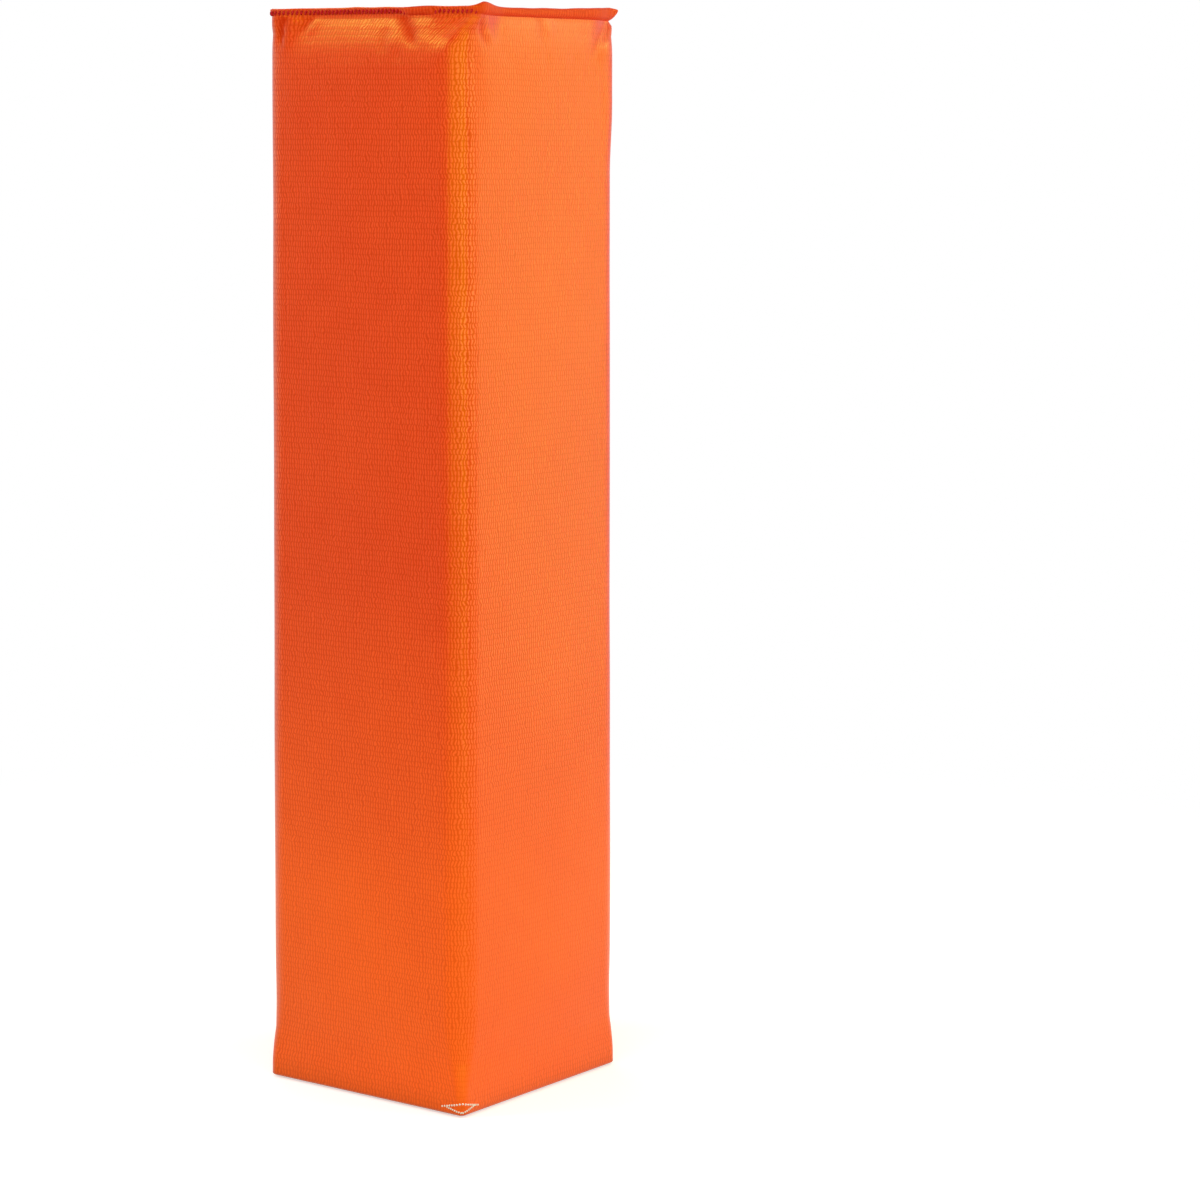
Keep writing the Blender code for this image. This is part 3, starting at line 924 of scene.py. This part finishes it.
def settled(points):
    """The points of the walls after the simulation."""
    rows = coarse_rows()
    columns = np.arange(0, len(AROUND) - 1, COARSE_COLUMNS)
    start = points[np.ix_(rows, columns)]
    cut = start.copy()
    cut[..., :2] = [ring(wall_half(points[row, :, 2]), CORNER_RADIUS)[columns] for row in rows]
    shift = simulated(start, cut, np.abs(BEND[columns] - 0.5) < CORNER_HOLD) - start
    size = np.linalg.norm(shift, axis=-1, keepdims=True)
    print("cloth moved by up to", round(1000 * float(size.max()), 2), "mm before the limit")
    shift *= SETTLE_CAP * np.tanh(size / SETTLE_CAP) / np.maximum(size, 1e-9)
    shift *= smooth(SETTLE_SLOPE * (1 - (CREASE_Z - start[..., 2:]) / SETTLE_REACH))
    shift = np.concatenate([shift, shift[:, :1]], axis=1)
    places = np.append(AROUND[columns], STRIP)
    wide = np.stack([[np.interp(AROUND, places, line[:, axis]) for line in shift] for axis in range(3)], -1)
    fine_rows = np.arange(SEAM_ROW, LAST_WALL_ROW + 1)
    for column in range(len(AROUND)):
        for axis in range(3):
            points[fine_rows, column, axis] += np.interp(fine_rows, rows, wide[:, column, axis])
    return points


POINTS = settled(POINTS)
print("walls settled")

# %% [markdown]
# Last come the single folds. They are put in after the simulation, whose coarse copy is too coarse for them.

# %% Putting the folds in
CREASE_FADE = 0.002


def creased(points):
    """The points with the single folds put in."""
    for row in points[SEAM_ROW:LAST_WALL_ROW + 1]:
        down = CREASE_Z - row[:, 2]
        relief = fold_relief(down) * smooth(down / CREASE_FADE) * smooth((row[:, 2] - ROLL_FADE) / ROLL_FADE)
        row[:, :2] += turned(OUT, row[:, 2]) * relief[:, None]
    return points


POINTS = creased(POINTS)
print("creases put in")

# %% [markdown]
# A grid of points becomes a mesh with one quad between each four points. The same function serves every
# cloth. It stores the cloth attribute. A Solidify modifier gives the cloth its thickness on the inside and is
# applied at once, so that the sharp cut edges can be marked, which keeps the shading of the faces clean.

# %% Making cloth
SHARP = math.radians(48)


def new_piece(name, data, replaced, body="pylon"):
    """Puts a mesh in the scene as a piece that rides on a body and stands for one node of the model."""
    piece = bpy.data.objects.new(name, data)
    bpy.context.scene.collection.objects.link(piece)
    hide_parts(replaced)
    if body:
        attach(piece, body)
    return piece


def applied(piece):
    """Replaces a piece's mesh with what its modifiers make of it."""
    graph = bpy.context.evaluated_depsgraph_get()
    made = bpy.data.meshes.new_from_object(piece.evaluated_get(graph))
    piece.modifiers.clear()
    piece.data = made
    made.name = piece.name


def drop(piece, context, chosen):
    """Takes some points or faces out of a piece's mesh."""
    mesh = bmesh.new()
    mesh.from_mesh(piece.data)
    bmesh.ops.delete(mesh, geom=chosen(mesh), context=context)
    mesh.to_mesh(piece.data)
    mesh.free()


def cloth_piece(name, points, flat, replaced, body="pylon", thickness=CLOTH, closed=False, flip=False,
                keep=None, open_side=None):
    """A cloth made of rows of points. flat holds each point's place on the flat cloth, keep says which quads
    are made, and open_side says which faces of the cut edge to leave out."""
    faces = [quad[::-1] if flip else quad for row, column, quad in grid(*points.shape[:2], closed)
             if keep is None or keep(row, column)]
    data = new_mesh(name, points, faces)
    place = data.attributes.new("cloth", "FLOAT_VECTOR", "POINT")
    stored = np.zeros((len(data.vertices), 3), dtype=np.float32)
    stored[:, :flat.shape[-1]] = flat.reshape(-1, flat.shape[-1])
    place.data.foreach_set("vector", stored.ravel())
    data.materials.append(cover_cloth)
    piece = new_piece(name, data, replaced, body)
    drop(piece, "VERTS", lambda mesh: [vert for vert in mesh.verts if not vert.link_faces])
    solidify = piece.modifiers.new("cloth thickness", "SOLIDIFY")
    solidify.thickness = thickness
    solidify.offset = -1.0
    solidify.use_even_offset = True
    applied(piece)
    if open_side:
        drop(piece, "FACES", lambda mesh: [face for face in mesh.faces
                                           if all(open_side(vert.co) for vert in face.verts)])
    piece.data.shade_smooth()
    piece.data.set_sharp_from_angle(angle=SHARP)
    return piece


print("cloth is", 1000 * CLOTH, "mm thick")

# %% [markdown]
# The walls now become cloth. Each point carries painted light: a painted highlight where the cloth goes round
# a corner, and painted shade in the rolled welt and where a fold dips. Under the base only the west wall goes
# on.

# %% The walls
HIGHLIGHT_RUN = 0.9
HIGHLIGHT_END = 0.2
BASE_HIGHLIGHT = 0.25
# how strongly shade is painted under the rolled welt and in the creases
ROLL_SHADE = 0.5
CREASE_SHADE = 0.7
CREASE_DEPTH = 0.0008


def painted_light_on_cloth():
    """Painted light on the walls at each point: a painted highlight round the corners above 0, painted shade
    under the rolled welt and in the creases below.
    """
    # painted highlight round every corner, stronger higher up
    round_corner = smooth(BEND / HIGHLIGHT_RUN) * smooth((1 - BEND) / HIGHLIGHT_END)
    painted_light = round_corner * np.clip(BASE_HIGHLIGHT + POINTS[:, :, 2] / HEIGHT, 0, 1)
    # painted shade under the rolled welt
    painted_light[:SEAM_ROW] = -ROLL_SHADE * rolled_over()
    # painted shade where a fold dips into a crease
    for number in range(SEAM_ROW, LAST_WALL_ROW):
        dip = -fold_relief(CREASE_Z - POINTS[number, :, 2])
        painted_light[number] -= CREASE_SHADE * np.clip(dip / CREASE_DEPTH, 0, 1)
    return painted_light


def make_walls():
    flat = np.stack(np.broadcast_arrays(AROUND[None, :], ALONG, painted_light_on_cloth()), -1)
    west = (SIDE == NAMES.index("west")) & (BEND == 0)

    def keep(row, column):
        return row < LAST_BEND_ROW or (west[column] and west[column + 1])

    walls = cloth_piece("cover_walls", POINTS, flat, "cover_wrap", keep=keep)
    return walls


walls = make_walls()
print("walls:", len(walls.data.polygons), "faces")

# %% [markdown]
# The outer base flap runs on from the right wall's bend to its lip, where the cloth is turned in twice as a
# hem. It is sewn down along its two sides. A blend can only go one way, from still to moving, so the flap is
# made as two halves. It is made as two halves, which meet at its middle.

# %% The closure flap
HEM = (
    # back from the lip, up, run of the cloth
    (0.0006, 0.0, 0.0),
    (0.0002, 0.0001, 0.0005),
    (0.0, 0.0004, 0.0005),
    (0.0, 0.0007, 0.0005),
    (0.0003, 0.0010, 0.0005),
    (0.0008, 0.0011, 0.0005),
    (0.0030, 0.0011, 0.0022),
    (0.0060, 0.0011, 0.0022),
)
SEAM_Y = 0.0502
SIDES = {"front": -1, "back": 1}


def lip(y):
    """Where the flap's lip crosses the base."""
    return slit(y) + STEP_RUN + LIP_GAP


def half_flap(name, sign):
    """One half of the outer flap, from the wall's bend to the hem's end."""
    east = (SIDE == NAMES.index("east")) & (BEND == 0) & (SHARE * sign >= 0)
    start = POINTS[LAST_BEND_ROW][east]
    rows, along = flap_rows(start, lambda y: lip(y) + HEM[0][0])
    rows = [start, *rows]
    along = [np.zeros(len(start)), *along]
    y = start[:, 1]
    for back, up, run in HEM[1:]:
        rows.append(np.column_stack([lip(y) + back, y, side_lift(y) + up]))
        along.append(along[-1] - run)
    along = ALONG[LAST_BEND_ROW][east] + np.array(along)
    flat = np.stack(np.broadcast_arrays(AROUND[east][None, :], along), -1)
    piece = cloth_piece(name, np.array(rows), flat, "closure_flap", body=None,
                        open_side=lambda place: abs(place.y) < 1e-6)
    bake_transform(piece)
    return piece


for side, sign in SIDES.items():
    half_flap("closure_flap_half_" + side, sign)
print("lip at x =", round(1000 * lip(0), 1), "mm in the middle")

# %% [markdown]
# The top panel is a square of the same cloth. Its edge is turned up inside the welt, and the foam crowns it
# a little. It was gathered as it was sewn, so small puckers run in from the seam and fade out. The cloth's
# third number paints shade on it, so that it is darker and duller than the walls.

# %% The top panel
PANEL_CROWN = 0.0018
PANEL_LIFT = 0.0013
PUCKER_SIZE = 0.00045
PUCKER_PITCH = 0.0085
PUCKER_REACH = 0.13
PANEL_EDGE = (
    # out, up
    (0.0000, 0.0028),
    (-0.0004, 0.0025),
    (-0.0008, 0.0019),
    (-0.0012, 0.0014),
)
PANEL_RINGS = 40
PANEL_SHADE_AND_DULL = 0.35
EAR_FOLLOW = (0.7, 0.8)  # out, up
PANEL_WAVE = 0.0005
PANEL_WAVE_PITCH = 0.03


def make_top_panel():
    crease, out, around = wall_ring(CREASE_Z)[:-1], OUT[:-1], AROUND[:-1]
    ear_out, ear_up = (pull[:-1] for pull in ears())
    rows, flat = [], []
    for reach, up in PANEL_EDGE:
        share = up / WELT_HEIGHT
        plan = crease + out * (reach + ear_out * share**1.5 * EAR_FOLLOW[0])[:, None]
        rows.append(at_height(plan, CREASE_Z + up + ear_up * share * EAR_FOLLOW[1]))
        flat.append(plan)
    ripple = waves(around / PUCKER_PITCH, 3, 0)
    outer, inner = (waves(*(crease * share / PANEL_WAVE_PITCH).T, 5) for share in (0.8, 0.4))
    for step in range(1, PANEL_RINGS + 1):
        share = max(1 - step / PANEL_RINGS, 0.002)
        plan = (crease + out * PANEL_EDGE[-1][0]) * share
        pucker = ripple * PUCKER_SIZE * math.exp(-step / PANEL_RINGS / PUCKER_REACH) * min(1, step / 2)
        wave = mix(inner, outer, share) * PANEL_WAVE * share
        rows.append(at_height(plan, CREASE_Z + PANEL_LIFT + PANEL_CROWN * (1 - share**2) + pucker + wave))
        flat.append(plan)
    points = np.array(rows)
    points[..., :2] = turned(points[..., :2], CREASE_Z)
    # painted shade: the panel's third number darkens its colour, and makes it duller
    flat = np.pad(np.array(flat), ((0, 0), (0, 0), (0, 1)), constant_values=-PANEL_SHADE_AND_DULL)
    panel = cloth_piece("top_panel_cloth", points, flat, "top_panel", closed=True, flip=True)


make_top_panel()
print("top panel crowned by", 1000 * PANEL_CROWN, "mm")

# %% [markdown]
# The pylon is sewn with a thick dark red thread. Each stitch is its own short piece of thread: it comes up
# out of one hole, lies on the cloth and dives into the next. A stitch is a tube along a low arch, thinner
# at its ends, and a seam is one mesh of many stitches.

# %% Thread and stitches
THREAD_SIDES = 6
THREAD_STEPS = 6
THREAD_RED = (0.36, 0.006, 0.010, 1)
THREAD_LIGHT = (0.50, 0.020, 0.018, 1)
THREAD_GREY = (0.30, 0.29, 0.27, 1)
THREAD_PALE = (0.62, 0.60, 0.55, 1)
THREAD_WHITE = (0.86, 0.82, 0.68, 1)
THREAD_CREAM = (0.72, 0.60, 0.42, 1)
THREAD_GLOSS = 0.05
TWIST_PITCH = 0.0005
TWIST_HEIGHT = 0.00008
THREAD_SINK = 0.35
THREAD_END = 0.55


def thread_finish(name, dark, light):
    finish = Finish(name, roughness=0.62, specular_ior_level=THREAD_GLOSS)
    place = finish.node("ShaderNodeTexCoord", output="Object")
    fibres = finish.noise(place, TWIST_PITCH, 3.0)
    finish.feed("Base Color", finish.mix(fibres.between(0.3, 0.7), dark, light))
    finish.feed("Roughness", 0.55 + fibres * 0.2)
    finish.raise_surface(fibres, TWIST_HEIGHT)
    return finish.material


red_thread = thread_finish("dark red thread", THREAD_RED, THREAD_LIGHT)
grey_thread = thread_finish("grey thread", THREAD_GREY, THREAD_PALE)
white_yarn = thread_finish("bare white yarn", THREAD_CREAM, THREAD_WHITE)


def stitch_mesh(name, pairs, finish, thickness, arch=0.5):
    """One mesh with a stitch for each (start, end, outward direction)."""
    vertices, faces = [], []
    for start, end, out in pairs:
        start, end, out = Vector(start), Vector(end), Vector(out).normalized()
        line = (end - start).normalized()
        side = line.cross(out).normalized()
        first = len(vertices)
        for step in range(THREAD_STEPS + 1):
            share = step / THREAD_STEPS
            height = max(0.0, math.sin(math.pi * share))
            middle = start.lerp(end, share) + out * thickness * (arch * height**0.6 - THREAD_SINK)
            radius = thickness / 2 * mix(THREAD_END, 1, height)
            for corner in range(THREAD_SIDES):
                angle = 2 * math.pi * corner / THREAD_SIDES
                vertices.append(middle + (side * math.cos(angle) + out * math.sin(angle)) * radius)
        for _, _, quad in grid(THREAD_STEPS + 1, THREAD_SIDES, closed=True):
            faces.append([first + corner for corner in quad])
        faces.append([first + corner for corner in range(THREAD_SIDES)])
        last = first + THREAD_STEPS * THREAD_SIDES
        faces.append([last + corner for corner in reversed(range(THREAD_SIDES))])
    data = new_mesh(name, vertices, faces)
    data.materials.append(finish)
    data.shade_smooth()
    return data


def marks_along(line):
    """How far along a line of points each of them is."""
    return np.concatenate([[0], np.cumsum(np.linalg.norm(np.diff(line, axis=0), axis=1))])


def at_mark(mark, marks, values):
    """The point or direction at a mark, between those that are listed."""
    return np.array([np.interp(mark, marks, values[:, axis]) for axis in range(3)])


def along_path(path, outs, pitch, length):
    """Stitches one after another along a path of points, each with the outward direction there."""
    path, outs = np.array(path, float), np.array(outs, float)
    marks = marks_along(path)
    return [(at_mark(mark - length / 2, marks, path), at_mark(mark + length / 2, marks, path),
             at_mark(mark, marks, outs)) for mark in np.arange(pitch / 2, marks[-1], pitch)]


print("threads ready")

# %% [markdown]
# The top seam's stitches are short and thick, and slant steeply. Over the left wall they lie high, on the
# upright welt under its lip. Where the welt is rolled they lie lower, in the crease below the roll.

# %% Stitches of the top seam
TOP_PITCH = 0.0020
TOP_LENGTH = 0.0009
TOP_THREAD = 0.00090
TOP_RISE = 0.0020
# on the upright welt, and where it is rolled
TOP_HEIGHT = (0.0018, 0.0007)
TOP_OUT = (0.0006, -0.0002)


def make_top_stitches():
    rolled = rolled_over()
    plan = wall_ring(CREASE_Z) + OUT * mix(*TOP_OUT, rolled)[:, None]
    path = at_height(turned(plan, CREASE_Z), CREASE_Z + mix(*TOP_HEIGHT, rolled))
    outs = at_height(turned(OUT, CREASE_Z), 0)
    lift = np.array([0, 0, TOP_RISE / 2])
    pairs = [(start - lift, end + lift, out)
             for start, end, out in along_path(path, outs, TOP_PITCH, TOP_LENGTH)]
    data = stitch_mesh("top_seam_stitches", pairs, red_thread, TOP_THREAD)
    new_piece("top_seam_stitches", data, "top_seam_thread")
    print("top seam:", len(pairs), "stitches")


make_top_stitches()

# %% [markdown]
# Under the base each side seam lies in the groove between a wall and the flaps, with a plain row of stitches.
# The hem of the outer flap has its own row, in two halves like the cloth, and the inner flap's
# hidden end has another. At the rear corner one upright row closes the walls.

# %% Stitches of the base and the rear corner
SEAM_PITCH = 0.0024
SEAM_LENGTH = 0.0016
SEAM_THREAD = 0.00050
HEM_THREAD = 0.00036
HEM_INSET = 0.0028
UNDER = (0, 0, -1)
BASE_SEAM_HALF = 0.0470
BASE_SEAM_UP = 0.0007
HEM_HALF = 0.0478
INNER_HEM_HALF = 0.0475
REAR_SEAM_LOW = 0.010
REAR_SEAM_DROP = 0.004
REAR_SEAM_PROUD = 0.0001


def plain_row(name, path, out, replaced, finish=red_thread, thickness=SEAM_THREAD, body="pylon"):
    pairs = along_path(path, [out] * len(path), SEAM_PITCH, SEAM_LENGTH)
    return new_piece(name, stitch_mesh(name, pairs, finish, thickness), replaced, body)


def make_base_stitches():
    for side, sign in SIDES.items():
        path = [(x, sign * SEAM_Y, BASE_SEAM_UP) for x in np.linspace(-BASE_SEAM_HALF, BASE_SEAM_HALF, 60)]
        plain_row("base_seam_stitches_" + side, path, UNDER, "base_seam_thread_" + side)
    for side, sign in SIDES.items():
        path = [(lip(y) + HEM_INSET, y, side_lift(y)) for y in sign * np.linspace(0, HEM_HALF, 40)]
        row = plain_row("closure_hem_stitches_" + side, path, UNDER, "closure_hem_thread",
                        thickness=HEM_THREAD, body=None)
        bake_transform(row)
    path = [(INNER_FLAP_END - HEM_INSET, y, STEP_RISE + side_lift(y))
            for y in np.linspace(-INNER_HEM_HALF, INNER_HEM_HALF, 60)]
    plain_row("inner_flap_hem_stitches", path, UNDER, "inner_flap_hem_thread", thickness=HEM_THREAD)


def make_rear_stitches():
    path = []
    for z in np.linspace(REAR_SEAM_LOW, CREASE_Z - REAR_SEAM_DROP, 200):
        corner = wall_ring(z)[0] + OUT[0] * (seam_groove()[0] + REAR_SEAM_PROUD)
        path.append([*turned(corner, z), z])
    plain_row("rear_seam_stitches", path, (*OUT[0], 0), "wrap_seam_thread")


make_base_stitches()
make_rear_stitches()
print("base and rear seams sewn")

# %% [markdown]
# At the front corner of the base the coating is worn off, and the white yarns of the mesh show as a small
# slanting row of dots on both sides of the corner, with an open V of yarns below it. Each is a short piece of
# yarn that lies on the cloth. It is placed by how far it is round the corner and how high, and the walls'
# own points say where that is.

# %% The worn corner
YARN = 0.00105
WORN_ROW = (-0.0100, 0.0094, 16)  # first, last, how many
WORN_ARMS = ((-0.0080, 0.0036), (0.0080, 0.0040))  # how far round, how high
WORN_TIP = 0.0017
WORN_STEPS = 8
WORN_ROW_Z = 0.0058
WORN_ROW_SLOPE = 0.23
YARN_HALF = (0.0004, 0.0003)  # round the corner, up
YARN_SHARE = 0.75
LOOK_AHEAD = 0.0002


def on_corner(shift, z):
    """The cloth's point at a height and at a distance round from the front corner, and the way out."""
    column = int(np.argmin(np.abs(away_from(corner_after("south")))))
    falling = POINTS[SEAM_ROW:LAST_BEND_ROW + 1]
    row = SEAM_ROW + int(np.clip(np.searchsorted(-falling[:, column, 2], -z), 1, len(falling) - 1))
    above, below = POINTS[row - 1], POINTS[row]
    line = mix(above, below, (above[column, 2] - z) / (above[column, 2] - below[column, 2]))
    marks = marks_along(line)
    marks -= marks[column]
    place, ahead = at_mark(shift, marks, line), at_mark(shift + LOOK_AHEAD, marks, line)
    nearest = int(np.argmin(np.abs(marks - shift)))
    out = np.cross(below[nearest] - above[nearest], ahead - place)
    return place, out / np.linalg.norm(out)


def make_worn_corner():
    half, half_rise = YARN_HALF
    yarns = []
    for shift in np.linspace(*WORN_ROW):
        z = WORN_ROW_Z - WORN_ROW_SLOPE * abs(shift)
        yarns.append(((shift - half, z - half_rise), (shift + half, z + half_rise)))
    for reach, height in WORN_ARMS:
        for number in range(WORN_STEPS):
            low, high = number / WORN_STEPS, (number + YARN_SHARE) / WORN_STEPS
            start, end = ((reach * share, mix(WORN_TIP, height, share)) for share in (low, high))
            yarns.append((start, (end[0], end[1] + half_rise)))
    pairs = []
    for start, end in yarns:
        (first, out), (last, _) = on_corner(*start), on_corner(*end)
        pairs.append((first, last, out))
    data = stitch_mesh("worn_corner_yarns", pairs, white_yarn, YARN, arch=0.25)
    new_piece("worn_corner_yarns", data, "cover_wrap")
    print("bare yarns:", len(pairs))


make_worn_corner()

# %% [markdown]
# The foam core is one block of cream foam with soft edges, hidden by the cover. It is made of the same rings
# as the walls, drawn in a little, and closed at both ends. Its finish has the small dark cells of cut foam.

# %% The foam core
FOAM_INSET = 0.0026
FOAM_BOTTOM = 0.0500
FOAM_PLAY = 0.0012
FOAM_TOP = CREASE_Z - FOAM_PLAY
FOAM_EDGE = 0.0050
FOAM_RINGS = 30
FOAM_PLAIN_FROM = 0.02
END_RINGS = (0.04, 0.3, 0.6, 0.85)
FOAM_CREAM = (0.74, 0.66, 0.46, 1)
FOAM_CELL = (0.46, 0.38, 0.22, 1)
CELL_PITCH = 0.0014
CELL_DEPTH = 0.0005
FOAM_CLOUD_PITCH = 0.02


def foam_finish():
    finish = Finish("cream foam", roughness=0.9)
    place = finish.node("ShaderNodeTexCoord", output="Object")
    cells = finish.node("ShaderNodeTexVoronoi", {}, {"Vector": place, "Scale": 1 / CELL_PITCH}, "Distance")
    clouds = finish.noise(place, FOAM_CLOUD_PITCH, 3.0)
    finish.feed("Base Color", finish.mix(cells.between(0.25, 0.65) * 0.7 + clouds * 0.2, FOAM_CREAM, FOAM_CELL))
    finish.feed("Roughness", 0.85 + clouds * 0.1)
    finish.raise_surface(1 - cells, CELL_DEPTH)
    return finish.material


def closed_rings(name, rings, finish, replaced):
    """A closed piece from rings of points, bottom first, with one face of many corners at each end."""
    count = len(rings[0])
    faces = [(a, d, c, b) for _, _, (a, b, c, d) in grid(len(rings), count, closed=True)]
    faces.append(list(reversed(range(count))))
    faces.append([(len(rings) - 1) * count + column for column in range(count)])
    data = new_mesh(name, rings, faces)
    data.materials.append(finish)
    data.shade_smooth()
    return new_piece(name, data, replaced)


def foam_ring(z, inset):
    """A ring of the block, further in than the walls."""
    return at_height(turned(wall_ring(z) - OUT * inset, z)[:-1], z)


def foam_end(height, upward):
    """The rings of one end of the block, from the middle of its face out and round its soft edge."""
    rows = [at_height(wall_ring(height)[:-1] * share, height) for share in END_RINGS]
    for angle in np.linspace(0, math.pi / 2, 7):
        z = height + upward * FOAM_EDGE * (1 - math.cos(angle))
        rows.append(foam_ring(z, FOAM_INSET + FOAM_EDGE * (1 - math.sin(angle))))
    return rows


def make_foam():
    plain = np.linspace(FOAM_BOTTOM + FOAM_PLAIN_FROM, FOAM_TOP - FOAM_PLAIN_FROM, FOAM_RINGS)
    rings = [*foam_end(FOAM_BOTTOM, 1), *(foam_ring(z, FOAM_INSET) for z in plain),
             *reversed(foam_end(FOAM_TOP, -1))]
    foam = closed_rings("foam_block", rings, foam_finish(), "foam_core")


make_foam()
print("foam block made")

# %% [markdown]
# The ballast is a pouch of plain grey cloth, filled with sand. Two squares of cloth are sewn together round
# a flat flange, and the sand swells them. Near the flange the cloth is full of small puckers, because a flat
# square can't cover a swollen one without them. The sand is a lumpy body of its own inside.

# %% The ballast pouch
BAG_BOTTOM = 0.0034
BAG_TOP = 0.0494
BAG_MIDDLE = (BAG_BOTTOM + BAG_TOP) / 2
BAG_HALF = 0.0478
BAG_CORNER = 0.0140
BAG_FLANGE = 0.0034
BAG_CLOTH = 0.0005
BAG_PUCKER = 0.0006
BAG_PUCKER_PITCH = 0.0070
BAG_RINGS = 34
BAG_ROUND = 0.55
BAG_SEAM_OUT = 0.6
POUCH_THREAD = 0.00045
LUMP_SIZE = 0.0007
LUMP_PITCH = 0.018
LUMP_MIDDLE = 0.4
BAG_PLAY = 0.0003
BAG_SWELL = BAG_MIDDLE - BAG_BOTTOM - BAG_CLOTH / 2 - BAG_PLAY
SAND_INSET = 0.0011
SAND_SIDE_INSET = 0.0012
GREY = (0.30, 0.30, 0.285, 1)
GREY_DEEP = (0.17, 0.17, 0.16, 1)
SAND = (0.56, 0.43, 0.26, 1)
SAND_DARK = (0.24, 0.16, 0.09, 1)
WEAVE_PITCH = 0.0012
WEAVE_DEPTH = 0.0002
POUCH_CLOUD_PITCH = 0.015
SAND_PITCH = 0.0007
SAND_KIND_PITCH = 0.0009
SAND_DEPTH = 0.0004


def pouch_finish():
    finish = Finish("grey woven cloth", roughness=0.85)
    place = finish.node("ShaderNodeTexCoord", output="Object")
    parts = {axis: finish.node("ShaderNodeSeparateXYZ", {}, [place], axis) for axis in "XY"}
    warp, weft = ((parts[axis] * (2 * math.pi / WEAVE_PITCH)).math("SINE") for axis in "XY")
    weave = warp * weft * 0.5 + 0.5
    clouds = finish.noise(place, POUCH_CLOUD_PITCH, 3.0)
    finish.feed("Base Color", finish.mix(weave * 0.6 + clouds * 0.4, GREY_DEEP, GREY))
    finish.feed("Roughness", 0.80 + clouds * 0.15)
    finish.raise_surface(weave, WEAVE_DEPTH)
    return finish.material


def sand_finish():
    finish = Finish("dry sand", roughness=0.9)
    place = finish.node("ShaderNodeTexCoord", output="Object")
    grains = finish.node("ShaderNodeTexVoronoi", {}, {"Vector": place, "Scale": 1 / SAND_PITCH}, "Distance")
    kinds = finish.noise(place, SAND_KIND_PITCH, 3.0)
    finish.feed("Base Color", finish.mix(kinds.between(0.35, 0.65), SAND_DARK, SAND))
    finish.feed("Roughness", 0.75 + kinds * 0.2)
    finish.raise_surface(1 - grains, SAND_DEPTH)
    return finish.material


def bag_rings(direction, half, inset=0.0):
    """Rings of half the pouch, from its flange to its middle, up or down. An inset gives the sand inside."""
    plain = ring(half, BAG_CORNER)[:-1]
    rings = []
    if not inset:
        for extra in (BAG_FLANGE, BAG_FLANGE / 2):
            rings.append(at_height(plain + OUT[:-1] * extra, BAG_MIDDLE + direction * BAG_CLOTH / 2))
    pucker = waves(AROUND[:-1] / BAG_PUCKER_PITCH, direction * 9, 1) * BAG_PUCKER * (not inset)
    for step in range(BAG_RINGS + 1):
        angle = math.pi / 2 * step / BAG_RINGS
        share = max(math.cos(angle) ** BAG_ROUND, 0.01)
        height = math.sin(angle) ** BAG_ROUND
        edge = bell(height, BAG_ROUND) * min(1.0, step / 3)
        plan = plain * share + OUT[:-1] * (pucker * edge)[:, None]
        lumps = waves(*(plan / LUMP_PITCH).T, direction * 4) - LUMP_MIDDLE
        swell = (BAG_SWELL - inset) * height + LUMP_SIZE * lumps * height
        rings.append(at_height(plan, BAG_MIDDLE + direction * (BAG_CLOTH / 2 + swell)))
    return rings


def make_pouch():
    grey = pouch_finish()
    for name, direction in (("upper", 1), ("lower", -1)):
        rings = np.array(bag_rings(direction, BAG_HALF))
        piece = cloth_piece("pouch_" + name, rings, rings[..., :2], "ballast_bag_" + name,
                            thickness=BAG_CLOTH, closed=True, flip=direction > 0)
        piece.data.materials[0] = grey
    path = at_height(ring(BAG_HALF, BAG_CORNER) + OUT * (BAG_FLANGE * BAG_SEAM_OUT), BAG_MIDDLE + BAG_CLOTH)
    plain_row("pouch_stitches", path, (0, 0, 1), "ballast_bag_thread", grey_thread, POUCH_THREAD)


def make_sand():
    lower, upper = (bag_rings(direction, BAG_HALF - SAND_SIDE_INSET, inset=SAND_INSET) for direction in (-1, 1))
    sand = closed_rings("sand_fill", lower[::-1] + upper, sand_finish(), "ballast_fill")


make_pouch()
make_sand()
print("pouch and sand made")
